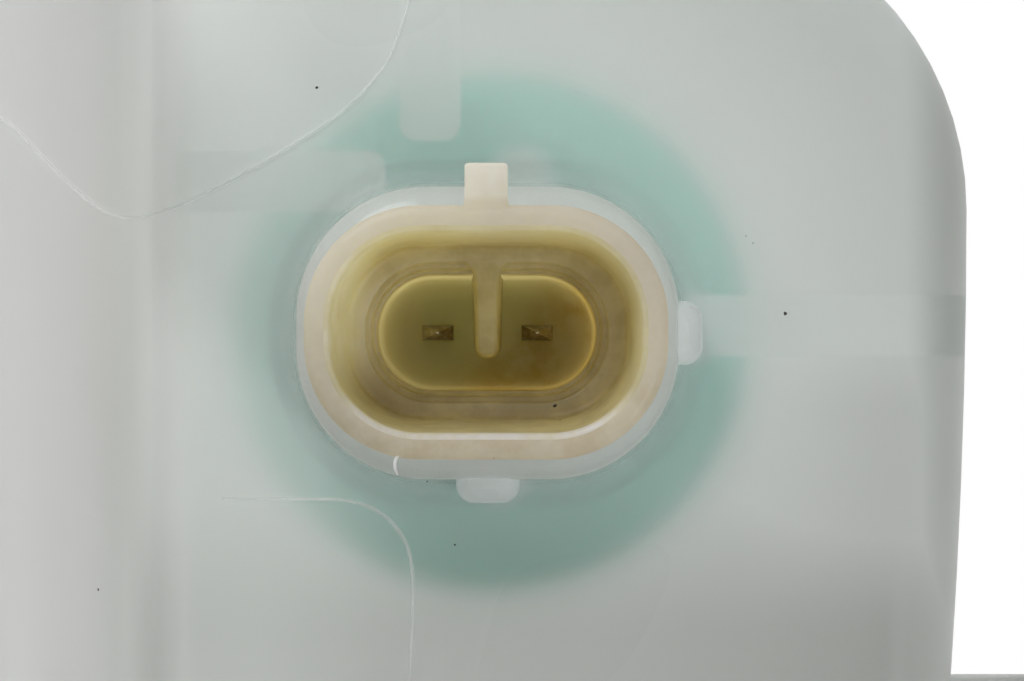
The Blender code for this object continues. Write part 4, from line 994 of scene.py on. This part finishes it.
def tank_upper(milky, inner):
    """The upper shell with its weld flange, from the joint face up to the roof and back inside."""
    weld = WELD_HEIGHT + FIT
    outer = [at_height(body_outline(inset), height) for inset, height in top_edge(0.0)]
    inside = [at_height(body_outline(inset), height) for inset, height in top_edge(WALL)]
    rings = list(reversed(outer))
    rings += flange_rings(weld + FLANGE_THICKNESS, weld)
    bands = len(rings)
    rings.append(at_height(body_outline(WALL), weld))
    rings += inside
    slots = [0] * bands + [1] * (len(rings) - 1 - bands)
    obj = add_object(skin("tank_upper", rings, slots=slots), [milky, inner])
    bore = NECK_BORE / 2
    hole = [(bore, TOP_HEIGHT - 2 * WALL), (bore, TOP_HEIGHT + 2 * WALL)]
    cut(obj, turned("neck_hole", hole), (NECK_X, 0, 0))
    return obj


def filler_neck(milky):
    """The neck's ring, with a fillet at its root, a rounded mouth and the thread on its outside."""
    root, top, bore = TOP_HEIGHT - WALL, NECK_TOP, NECK_BORE / 2
    profile = [(bore, root), (NECK_RADIUS + NECK_ROOT_FILLET, root)]
    profile += [(NECK_RADIUS + out, TOP_HEIGHT + up) for up, out in quarter(NECK_ROOT_FILLET)]
    chamfer = [(NECK_RADIUS, top), (bore, top)]
    profile += rounded([profile[-1], *chamfer, (bore, root)], NECK_CHAMFER, looped=False)[1:-1]
    neck = add_object(turned("filler_neck", profile, looped=True), [milky], (NECK_X, 0, 0))
    steps = int(THREAD_TURNS * THREAD_STEPS)
    half = THREAD_WIDTH / 2
    crest = half / THREAD_NARROWING
    root_radius = NECK_RADIUS - THREAD_SUNK
    rings = []
    for i in range(steps + 1):
        turn = 2 * math.pi * THREAD_TURNS * i / steps
        fade = min(1.0, i / THREAD_FADE_STEPS, (steps - i) / THREAD_FADE_STEPS)
        centre = top - THREAD_BELOW_MOUTH - THREAD_PITCH * THREAD_TURNS * (1 - i / steps)
        out = NECK_RADIUS + THREAD_DEPTH * fade
        section = [(root_radius, -half), (out, -crest), (out, crest), (root_radius, half)]
        rings.append([(r * math.cos(turn), r * math.sin(turn), centre + h) for r, h in section])
    thread = add_object(skin("neck_thread", rings), [milky], (NECK_X, 0, 0))
    return join_objects(neck, [thread])


def boss(thick):
    """The oval cup under the shelf, with a rounded face, a fillet at its root and the plug's pocket."""
    rings = [(out, SHELF_RISE - down) for down, out in quarter(BOSS_ROOT)]
    rings += [(-inset, BOSS_FACE + up) for inset, up in quarter(BOSS_ROUND)]
    shape = [
        at_height(oval(BOSS_WIDTH + 2 * out, BOSS_DEPTH + 2 * out, BOSS_CORNER + out), height)
        for out, height in rings
    ]
    pocket = inset_oval(PLUG_SHOULDER - FIT)
    shape.insert(0, [(x, y, SHELF_RISE + SUNK) for x, y, _ in shape[0]])
    shape.append(at_height(pocket, BOSS_FACE))
    shape.append(at_height(pocket, SHELF_RISE - FIT))
    main = add_object(skin("sensor_boss", shape), [thick], SENSOR)
    lugs = []
    for turn, reach in ((math.pi / 2, BOSS_DEPTH / 2), (0.0, BOSS_WIDTH / 2)):
        rings = []
        for inset, height in BOSS_LUG_STEPS:
            length = reach + BOSS_LUG_REACH - inset * MM
            width = BOSS_LUG_WIDTH - BOSS_LUG_TAPER * inset * MM
            bar = rounded_bar(reach - BOSS_ROUND / 2, length, width, BOSS_LUG_ROUND)
            rings.append(at_height(bar, BOSS_FACE + BOSS_ROUND + height * MM))
        mesh = skin("boss_lug", [*rings, at_height(bar, SHELF_RISE + SUNK)])
        lugs.append(add_object(mesh, [thick], SENSOR, (0, 0, turn)))
    return join_objects(main, lugs)


def rounded_bar(start, length, width, corner, steps=8):
    """A bar in plan from start out to length, with its far corners rounded."""
    half = width / 2
    points = [(start, -half)]
    points += arc(length - corner, corner - half, corner, -90, 90, steps)
    points += arc(length - corner, half - corner, corner, 0, 90, steps)
    points.append((start, half))
    return points


def nipple(name, milky, place, rotation, bore, wall, length):
    """A hose nipple with a rounded flange, a barb and an open bore."""
    radius = bore / 2 + wall
    inner = bore / 2
    profile = [
        (inner, -WALL / 2),
        (radius + wall, -WALL / 2),
        (radius + wall, wall / 2),
        (radius, wall),
        (radius, length - BARB_LENGTH),
        (radius + BARB_HEIGHT, length - BARB_LENGTH),
        (radius - BARB_HEIGHT / 2, length),
        (inner, length),
    ]
    mesh = turned(name, rounded(profile, NIPPLE_ROUND), looped=True)
    return add_object(mesh, [milky], place, rotation)


def nipples(milky):
    place, turn = (SUMP_LEFT + draft_inset(OUTLET_Z), OUTLET_Y, OUTLET_Z), (0, -math.pi / 2, 0)
    outlet = nipple("outlet_nipple", milky, place, turn, OUTLET_BORE, OUTLET_WALL, OUTLET_LENGTH)
    place, turn = (VENT_X, BACK - draft_inset(VENT_Z), VENT_Z), (-math.pi / 2, 0, 0)
    vent = nipple("vent_nipple", milky, place, turn, VENT_BORE, VENT_WALL, VENT_LENGTH)
    return outlet, vent


def ear_places():
    places = {}
    for side, y, sense in (("right", RIGHT_EAR_Y, 1), ("left", LEFT_EAR_Y, -1)):
        places[side] = (end_wall(sense, y, EAR_HEIGHT) + sense * EAR_REACH, y, sense)
    return places


def ears(milky):
    """The two ears with their gussets, edges rounded as moulded, holes cut for the grommets."""
    half = EAR_WIDTH / 2
    sunk = EAR_HEIGHT + EAR_THICKNESS / 2
    made = []
    for side, (centre, y, sense) in ear_places().items():
        depth = sense * WALL / 2
        start, end = y - sense * half, y + sense * half
        outline = [(end_wall(sense, start, EAR_HEIGHT) - depth, start)]
        outline += arc(centre, y, half, -90 * sense, 180, 2 * CORNER_STEPS)
        outline.append((end_wall(sense, end, EAR_HEIGHT) - depth, end))
        mesh = prism(side + "_ear", outline, EAR_HEIGHT, EAR_HEIGHT + EAR_THICKNESS)
        ear = add_object(mesh, [milky])
        hole = [(EAR_HOLE, EAR_HEIGHT - EAR_THICKNESS), (EAR_HOLE, EAR_HEIGHT + 2 * EAR_THICKNESS)]
        cut(ear, turned(side + "_ear_hole", hole, 64), (centre, y, 0))
        bevel(ear, EAR_ROUND)
        foot = centre - sense * (EAR_HOLE + GROMMET_LIP)
        gussets = []
        for edge in (-1, 1):
            across = y + edge * (half - EAR_GUSSET_THICKNESS)
            root = end_wall(sense, across, EAR_HEIGHT) - depth
            outline = [(root, EAR_HEIGHT - EAR_GUSSET_DROP), (foot, sunk), (root, sunk)]
            mesh = slab(side + "_gusset", outline, across, EAR_GUSSET_THICKNESS, "Y")
            gussets.append(bevel(add_object(mesh, [milky]), EDGE_ROUND))
        made.append(join_objects(ear, gussets))
    return made


def peg(milky):
    profile = [
        (PEG_TIP, -WALL / 2),
        (PEG_RADIUS + PEG_COLLAR, -WALL / 2),
        (PEG_RADIUS + PEG_COLLAR, PEG_COLLAR),
        (PEG_RADIUS, PEG_COLLAR),
        (PEG_RADIUS, PEG_LENGTH - PEG_COLLAR),
        (PEG_RADIUS - PEG_COLLAR / 2, PEG_LENGTH),
        (PEG_TIP, PEG_LENGTH),
    ]
    profile = rounded(profile, PEG_ROUND, looped=False)
    place = (PEG_X, BACK - draft_inset(PEG_Z), PEG_Z)
    return add_object(turned("locating_peg", profile), [milky], place, (-math.pi / 2, 0, 0))


def level_marks(milky):
    """The low and high level bars on the front."""
    made = []
    for name, height in (("low_level_mark", LOW_MARK_Z), ("high_level_mark", HIGH_MARK_Z)):
        wall = FRONT + draft_inset(height)
        low = (MARK_X - MARK_WIDTH / 2, wall - MARK_PROUD, height - MARK_HEIGHT / 2)
        high = (MARK_X + MARK_WIDTH / 2, wall + WALL / 2, height + MARK_HEIGHT / 2)
        made.append(bevel(add_object(box_mesh(name, low, high), [milky]), EDGE_ROUND))
    return made


def baffles(milky):
    """The slosh baffle across each half, with two windows at its foot."""
    sunk = WALL / 2
    low = [(FRONT + inset, height) for inset, height in bottom_edge(sunk)]
    low.append((FRONT + sunk, WELD_HEIGHT))
    low += [(-across, height) for across, height in reversed(low)]
    lower = add_object(slab("lower_baffle", low, BAFFLE_X, BAFFLE_THICKNESS, "X"), [milky])
    half = BAFFLE_THICKNESS
    for side in (-1, 1):
        centre = side * BAFFLE_WINDOW_Y
        low_corner = (BAFFLE_X - half, centre - BAFFLE_WINDOW_WIDTH / 2, WALL + FIT)
        high_corner = (BAFFLE_X + half, centre + BAFFLE_WINDOW_WIDTH / 2, WALL + BAFFLE_WINDOW_HEIGHT)
        cut(lower, box_mesh("baffle_window", low_corner, high_corner))
    high = [(FRONT + sunk, WELD_HEIGHT + FIT), (FRONT + sunk + draft_inset(BAFFLE_TOP), BAFFLE_TOP)]
    high += [(-across, height) for across, height in reversed(high)]
    upper = add_object(slab("upper_baffle", high, BAFFLE_X, BAFFLE_THICKNESS, "X"), [milky])
    return lower, upper


# Sensor plug


def inset_oval(inset):
    return oval(SHROUD_WIDTH - 2 * inset, SHROUD_DEPTH - 2 * inset, SHROUD_CORNER - inset)


def plug(ivory, socket, well):
    """The plug from the reed tube down: body, shroud, crowned rim, tapered socket, ledge and well."""
    count = 4 * (OVAL_STEPS + 1)
    shape = []

    def tube(radius, height):
        shape.append((circle(radius, height, count, -math.pi / 2), 0))

    def ring(outline, height, slot=0):
        shape.append((at_height(outline, height), slot))

    def well_ring(out, height, slot):
        ring(oval(WELL_WIDTH + 2 * out, WELL_BREADTH + 2 * out, WELL_CORNER + out), height, slot)

    tube(TUBE_TIP, TUBE_TOP)
    tube(TUBE_RADIUS - TUBE_ROUND, TUBE_TOP)
    tube(TUBE_RADIUS, TUBE_TOP - TUBE_ROUND)
    tube(TUBE_RADIUS, PLUG_TOP)
    body = inset_oval(PLUG_SHOULDER)
    ring(body, PLUG_TOP)
    ring(body, SHROUD_TOP)
    ring(inset_oval(LEDGE_ROUND / 2), SHROUD_TOP)
    ring(inset_oval(0.0), SHROUD_TOP - LEDGE_ROUND / 2)
    for inset, up in quarter(RIM_OUTER_ROUND):
        ring(inset_oval(inset), RIM + up)
    for up, back in quarter(RIM_INNER_ROUND):
        ring(inset_oval(SHROUD_WALL - back), RIM + up, 1)
    for inset, down in quarter(LEDGE_ROUND):
        ring(inset_oval(SHROUD_WALL + SHROUD_TAPER + inset), LEDGE - down, 1)
    for out, depth, slot in WELL_STEPS:
        well_ring(out * MM, LEDGE + depth * MM, slot)
    for inset, down in quarter(WELL_FLOOR_ROUND):
        well_ring(-WELL_WALL_INSET - inset, WELL_BOTTOM - down, 2)
    mesh = skin("sensor_plug", [r for r, _ in shape], slots=[s for _, s in shape])
    main = add_object(mesh, [ivory, socket, well], SENSOR)
    combine(main, socket_rib(socket), "UNION")
    combine(main, lock_tab(ivory), "UNION")
    return main


def socket_rib(socket):
    """The rib between the contacts, from the well's front edge to its rounded end, its foot flared."""
    half = SOCKET_RIB_WIDTH / 2
    foot = -WELL_BREADTH / 2
    end = SOCKET_RIB_PAST_AXIS - half
    rings = []
    for out, height in SOCKET_RIB_STEPS:
        wide = half + out * MM
        outline = [(wide + flare * MM, foot + along * MM) for flare, along in SOCKET_RIB_FLARE]
        mirrored = [(-x, y) for x, y in reversed(outline)]
        outline += arc(0, end, wide - SOCKET_RIB_TIP_INSET, 0, 180, 16)
        rings.append(at_height(outline + mirrored, height))
    return add_object(skin("socket_rib", rings), [socket], SENSOR)


def lock_tab(ivory):
    """The latch tab on the shroud's front, with rounded edges and a flared root."""
    root, tip = -SHROUD_DEPTH / 2 + TAB_SUNK, -SHROUD_DEPTH / 2 - TAB_REACH
    steps = [(inset * MM, RIM + TAB_SET_BACK + rise * MM) for inset, rise in TAB_LOW_STEPS]
    steps += [(inset * MM, RIM + TAB_LENGTH + rise * MM) for inset, rise in TAB_HIGH_STEPS]
    rings = []
    for inset, height in steps:
        half, near = TAB_WIDTH / 2 - inset, tip + inset
        outline = arc(-half + TAB_CORNER, near + TAB_CORNER, TAB_CORNER, 180, 90, 6)
        outline += arc(half - TAB_CORNER, near + TAB_CORNER, TAB_CORNER, 270, 90, 6)
        flare = [(half + out * MM, root - before * MM) for out, before in TAB_FLARE]
        outline += flare + [(-x, y) for x, y in reversed(flare)]
        rings.append(at_height(outline, height))
    return add_object(skin("lock_tab", rings), [ivory], SENSOR)


def pins(brass):
    """The stamped terminals, each with a four-sided point in the well and an arm to the reed's lead."""
    arm = PIN_WIDTH / 2
    inner, outer = PIN_PITCH / 2 - arm, PIN_PITCH / 2 + arm
    low, high, foot = LEAD_BOTTOM - FIT, LEAD_TOP + FIT, WELL_BOTTOM + PIN_FOOT
    left = [(-inner, foot), (-inner, low - 3 * arm), (arm, low - arm), (arm, low)]
    left += [(-arm, low), (-outer, low - 2 * arm), (-outer, foot)]
    right = [(inner, foot), (outer, foot), (outer, high + arm)]
    right += [(-arm, high + arm), (-arm, high), (inner, high)]
    tip = WELL_BOTTOM - PIN_STANDING
    point = tip + PIN_POINT
    steps = [(PIN_TIP_SHARE, tip), (PIN_EDGE_SHARE, point)]
    steps += [(1.0, point + PIN_EDGE), (1.0, WELL_BOTTOM + PIN_SUNK)]
    for name, side, outline in (("left", -1, left), ("right", 1, right)):
        rings = []
        for share, height in steps:
            x, y = arm * share, PIN_THICKNESS / 2 * share
            rings.append([(-x, -y, height), (x, -y, height), (x, y, height), (-x, y, height)])
        place = (SENSOR_X + side * PIN_PITCH / 2, SENSOR_Y, 0)
        contact = add_object(skin("contact_" + name, rings), [brass], place)
        mesh = slab("shaft_" + name, outline, 0.0, PIN_THICKNESS, "Y")
        shaft = add_object(mesh, [brass], SENSOR)
        replace(join_objects(contact, [shaft]), "tank", "brass", "terminal_" + name)


# Cap, grommets and sleeves


def lobed(radius, depth, height):
    """A ring of points with shallow finger grips pressed into it."""
    steps = CAP_LOBES * CAP_LOBE_STEPS
    points = []
    for i in range(steps):
        turn = 2 * math.pi * i / steps
        reach = radius - depth * (1 - math.cos(CAP_LOBES * turn)) / 2
        points.append((reach * math.cos(turn), reach * math.sin(turn), height))
    return points


def cap(black):
    """The grip cap, with a rolled skirt, fluted side, dished crown and the gate's pip in the middle."""
    inner, shoulder = CAP_INSIDE_RADIUS, CAP_CROWN - CAP_CROWN_ROUND
    rings = [lobed(inner, 0.0, CAP_INSIDE_TOP), lobed(inner, 0.0, -CAP_SKIRT)]
    rings.append(lobed(CAP_RADIUS - CAP_LOBE_DEPTH, 0.0, -CAP_SKIRT))
    rings.append(lobed(CAP_RADIUS - SKIRT_ROUND, CAP_LOBE_DEPTH, SKIRT_ROUND_HEIGHT - CAP_SKIRT))
    rings.append(lobed(CAP_RADIUS, CAP_LOBE_DEPTH, CAP_LOBE_DEPTH - CAP_SKIRT))
    for angle in quarter_turns():
        radius = CAP_RADIUS - CAP_CROWN_ROUND * (1 - math.cos(angle))
        height = shoulder + CAP_CROWN_ROUND * math.sin(angle)
        rings.append(lobed(radius, CAP_LOBE_DEPTH * math.cos(angle), height))
    crown = [(CAP_DISH_RADIUS + out * MM, drop) for out, drop in DISH_STEPS]
    crown += [(radius * MM, drop) for radius, drop in PIP_STEPS]
    for radius, drop in crown:
        rings.append(lobed(radius, 0.0, CAP_CROWN - CAP_DISH_DEPTH * drop))
    return add_object(skin("grip_cap", rings), [black], (NECK_X, 0, NECK_TOP))


def grommets(rubber, metal):
    """A rubber grommet with rounded lips in each ear, and the steel sleeve through it."""
    bore = SLEEVE_BORE / 2
    sleeve = bore + SLEEVE_WALL
    neck = EAR_HOLE - FIT
    lip = EAR_HOLE + GROMMET_LIP
    neck_bottom, neck_top = EAR_HEIGHT - FIT, EAR_HEIGHT + EAR_THICKNESS + FIT
    bottom, top = neck_bottom - GROMMET_LIP_THICKNESS, neck_top + GROMMET_LIP_THICKNESS
    hole = sleeve + FIT
    soft = [(hole, bottom), (lip, bottom), (lip, neck_bottom), (neck, neck_bottom)]
    soft += [(neck, neck_top), (lip, neck_top), (lip, top), (hole, top)]
    hard = [(bore, bottom - SLEEVE_STAND_OUT), (sleeve, bottom - SLEEVE_STAND_OUT)]
    hard += [(sleeve, top + SLEEVE_STAND_OUT), (bore, top + SLEEVE_STAND_OUT)]
    for side, (x, y, _) in ear_places().items():
        ring = turned("ear_grommet_" + side, rounded(soft, GROMMET_ROUND), looped=True)
        grommet = add_object(ring, [rubber], (x, y, 0))
        replace(grommet, "tank", "black_rubber", "grommet_" + side)
        ring = turned("ear_sleeve_" + side, rounded(hard, SLEEVE_ROUND), looped=True)
        tube = add_object(ring, [metal], (x, y, 0))
        replace(tube, "tank", "steel", "sleeve_" + side)


# Small marks left by moulding and handling


def on_surface(tree, points, lift=0.0):
    """Points in the plane of the shelf's underside, moved along the camera's rays onto the surface."""
    eye = camera_place()
    placed = []
    for x, y in points:
        ray = (Vector((x, y, SHELF_RISE)) - eye).normalized()
        hit, normal, _, _ = tree.ray_cast(eye, ray)
        if hit:
            placed.append(hit - ray * lift)
    return placed


def between(p, q, r, s, t):
    """A value on the smooth curve from q to r, at share t, with p before them and s after."""
    start = 2 * q + (r - p) * t
    return 0.5 * (start + (2 * p - 5 * q + 4 * r - s) * t * t + (3 * q - p - 3 * r + s) * t ** 3)


def smooth_path(points, steps=10):
    """A smooth curve through chosen points."""
    path = []
    padded = [points[0], *points, points[-1]]
    for near in zip(padded, padded[1:], padded[2:], padded[3:]):
        for step in range(steps):
            path.append(tuple(between(*values, step / steps) for values in zip(*near)))
    path.append(points[-1])
    return path


def thread_line(name, path, radius, material):
    """A thin raised line along a path."""
    curve = bpy.data.curves.new(name, "CURVE")
    curve.dimensions = "3D"
    curve.bevel_depth = radius
    curve.bevel_resolution = 2
    spline = curve.splines.new("POLY")
    spline.points.add(len(path) - 1)
    for i, (point, place) in enumerate(zip(spline.points, path)):
        point.co = (*place, 1.0)
        point.radius = 0.25 + 0.75 * math.sin(math.pi * (i + 0.5) / len(path)) ** 0.5
    curve.materials.append(material)
    return link(name, curve)


def from_picture(*points):
    """Places on the shelf's underside for points given in the picture's pixels."""
    scale = PIXEL_AT_RIM * (SHELF_RISE - RIM + CAMERA_DISTANCE) / CAMERA_DISTANCE
    eye = camera_place()
    return [
        (eye.x + (across - IMAGE_WIDTH / 2) * scale, eye.y + (down - IMAGE_HEIGHT / 2) * scale)
        for across, down in points
    ]


def fine_lines(tree, flash, faint):
    """The mould's witness line under the shelf, a stray hairline over the step, and a curl of flash."""
    lines = []
    for name, pixels, lift, radius in (
        ("witness_line", WITNESS_LINE, 0.1 * MM, 0.12 * MM),
        ("stray_hairline", HAIRLINE, 0.09 * MM, 0.1 * MM),
    ):
        path = on_surface(tree, smooth_path(from_picture(*pixels)), lift)
        lines.append(thread_line(name, path, radius, faint))
    curl = [(SENSOR_X + x * MM, SENSOR_Y + y * MM, z * MM) for x, y, z in CURL]
    return lines, thread_line("flash_curl", smooth_path(curl), 0.1 * MM, flash)


def specks(tree, dirt):
    """Grains of dust where the plastic shows them."""
    work = bmesh.new()
    for across, down, radius in DUST:
        for place in on_surface(tree, from_picture((across, down))):
            made = bmesh.ops.create_icosphere(work, subdivisions=2, radius=radius * MM)
            for vertex in made["verts"]:
                vertex.co *= 1 + 0.35 * math.sin(9000 * (vertex.co.x + 2 * vertex.co.y) + across)
                vertex.co.z *= 0.5
                vertex.co += place
    return add_object(to_mesh(work, "dust_specks"), [dirt])


# Placing


def replace(obj, body, slot, *nodes):
    """Makes a piece ride on a body and stand for CAD nodes; the slot is not used."""
    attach(obj, body)
    if nodes:
        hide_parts(*nodes)
    return obj


def valve_spring(node, body, joint, material):
    """A valve's coil spring, from its CAD node, riding on the given body."""
    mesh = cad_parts[node].data.copy()
    mesh.name = joint + "_coil"
    mesh.materials.clear()
    coil = replace(add_object(mesh, [material]), body, "steel", node)
    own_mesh(coil)


def dress(node, material):
    """Gives a CAD node that stays its finish."""
    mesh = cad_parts[node].data
    mesh.materials.clear()
    mesh.materials.append(material)
    smooth(mesh)


def surface_tree(*objects):
    """A search tree of the given objects' faces, in the frame."""
    vertices, faces = [], []
    for obj in objects:
        start = len(vertices)
        vertices += [obj.matrix_basis @ v.co for v in obj.data.vertices]
        faces += [[start + i for i in p.vertices] for p in obj.data.polygons]
    return BVHTree.FromPolygons(vertices, faces)


# Stage


def camera_place():
    return Vector((SENSOR_X + CAMERA_OFFSET[0], SENSOR_Y + CAMERA_OFFSET[1], RIM - CAMERA_DISTANCE))


def add_camera():
    """The photograph's view: straight up at the plug, with the tank's front towards the picture's top."""
    camera = bpy.data.cameras.new("camera")
    camera.sensor_width = SENSOR_WIDTH
    camera.lens = SENSOR_WIDTH * CAMERA_DISTANCE / (IMAGE_WIDTH * PIXEL_AT_RIM)
    camera.clip_start = CAMERA_NEAR
    camera.clip_end = CAMERA_FAR
    bpy.context.scene.camera = link("camera", camera, camera_place(), (math.pi, 0, 0))


def add_floor():
    """A pale floor that is seen from above only, so that the view from below looks past it."""
    shader = Shader("floor_paint")
    paint = shader.principled(shader.mix_colour(shader.noise(6), (0.80, 0.80, 0.79), (0.83, 0.83, 0.82)), 0.6)
    behind = shader.add("ShaderNodeNewGeometry").outputs["Backfacing"]
    material = shader.finish(shader.mix_shader(behind, paint, shader.transparent()))
    half = FLOOR_HALF
    outline = [(-half, -half, 0), (half, -half, 0), (half, half, 0), (-half, half, 0)]
    mesh = bpy.data.meshes.new("floor")
    mesh.from_pydata(outline, [], [(0, 1, 2, 3)])
    floor = add_object(mesh, [material], (0, 0, -FLOOR_DROP))
    floor.visible_diffuse = False
    floor.visible_glossy = False
    floor.visible_transmission = False
    floor.visible_shadow = False


def area_light(name, place, target, size, power):
    light = bpy.data.lights.new(name, "AREA")
    light.shape = "DISK"
    light.size = size
    light.energy = power
    aim = (Vector(target) - Vector(place)).to_track_quat("-Z", "Y").to_euler()
    link(name, light, place, aim).visible_camera = False


def add_lights():
    """White surroundings, two soft lamps below for the underside, and two above."""
    shader = Shader("studio", world=True)
    rays = shader.add("ShaderNodeLightPath").outputs
    seen = rays["Is Camera Ray"]
    for kind in ("Is Glossy Ray", "Is Transmission Ray"):
        seen = shader.math("MAXIMUM", seen, rays[kind])
    strength = shader.ramp(seen, 0.0, 1.0, WORLD_STRENGTH, 1.0, smooth=False)
    sky = shader.add("ShaderNodeBackground", {"Color": (1.0, 1.0, 1.0), "Strength": strength})
    bpy.context.scene.world = shader.finish(sky.outputs[0])
    for lamp in LAMPS:
        area_light(*lamp)


def main():
    looks = plain_finishes()
    rubber, steel = looks["rubber"], looks["steel"]
    milky, inner, ivory = milky_plastic(), inner_face(), ivory_plastic()
    flash, faint = thin_flash("thin_flash", 0.0), thin_flash("faint_line", 0.45)

    lower, upper = tank_lower(milky, inner), tank_upper(milky, inner)
    boss_piece = boss(thick_milky())
    plug_piece = replace(plug(ivory, ivory_inside(), ivory_well()), "tank", "ivory_plastic", "sensor_housing")
    tree = surface_tree(lower, boss_piece, plug_piece)
    lines, curl = fine_lines(tree, flash, faint)
    outlet, vent = nipples(milky)
    low_mark, high_mark = level_marks(milky)
    lower_baffle, upper_baffle = baffles(milky)
    join_objects(lower, [boss_piece, outlet, *ears(milky), peg(milky), low_mark, lower_baffle, *lines])
    join_objects(upper, [filler_neck(milky), vent, high_mark, upper_baffle])
    replace(lower, "tank", "milky_plastic", "lower_shell")
    replace(upper, "tank", "milky_plastic", "upper_shell")
    replace(curl, "tank", "milky_plastic")
    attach(specks(tree, looks["dirt"]), "tank")
    pins(looks["brass"])
    replace(cap(looks["black"]), "cap_grip", "black_plastic", "cap_cover")
    grommets(rubber, steel)
    valve_spring("pressure_valve_spring", "cap_core", "pressure_valve_lift", steel)
    valve_spring("vacuum_valve_spring", "pressure_valve", "vacuum_valve_drop", steel)

    for material, *nodes in (
        (ivory, "float_clip"),
        (looks["teal"], "float_ring"),
        (looks["ferrite"], "float_magnet"),
        (looks["glass"], "reed_switch"),
        (looks["grey"], "cap_insert", "spring_retainer"),
        (rubber, "sensor_seal", "cap_seal", "pressure_valve_gasket"),
        (steel, "pressure_valve_plate", "vacuum_valve"),
    ):
        for node in nodes:
            dress(node, material)

    add_floor()
    add_lights()
    add_camera()
    bpy.context.scene.view_settings.view_transform = "Standard"


main()
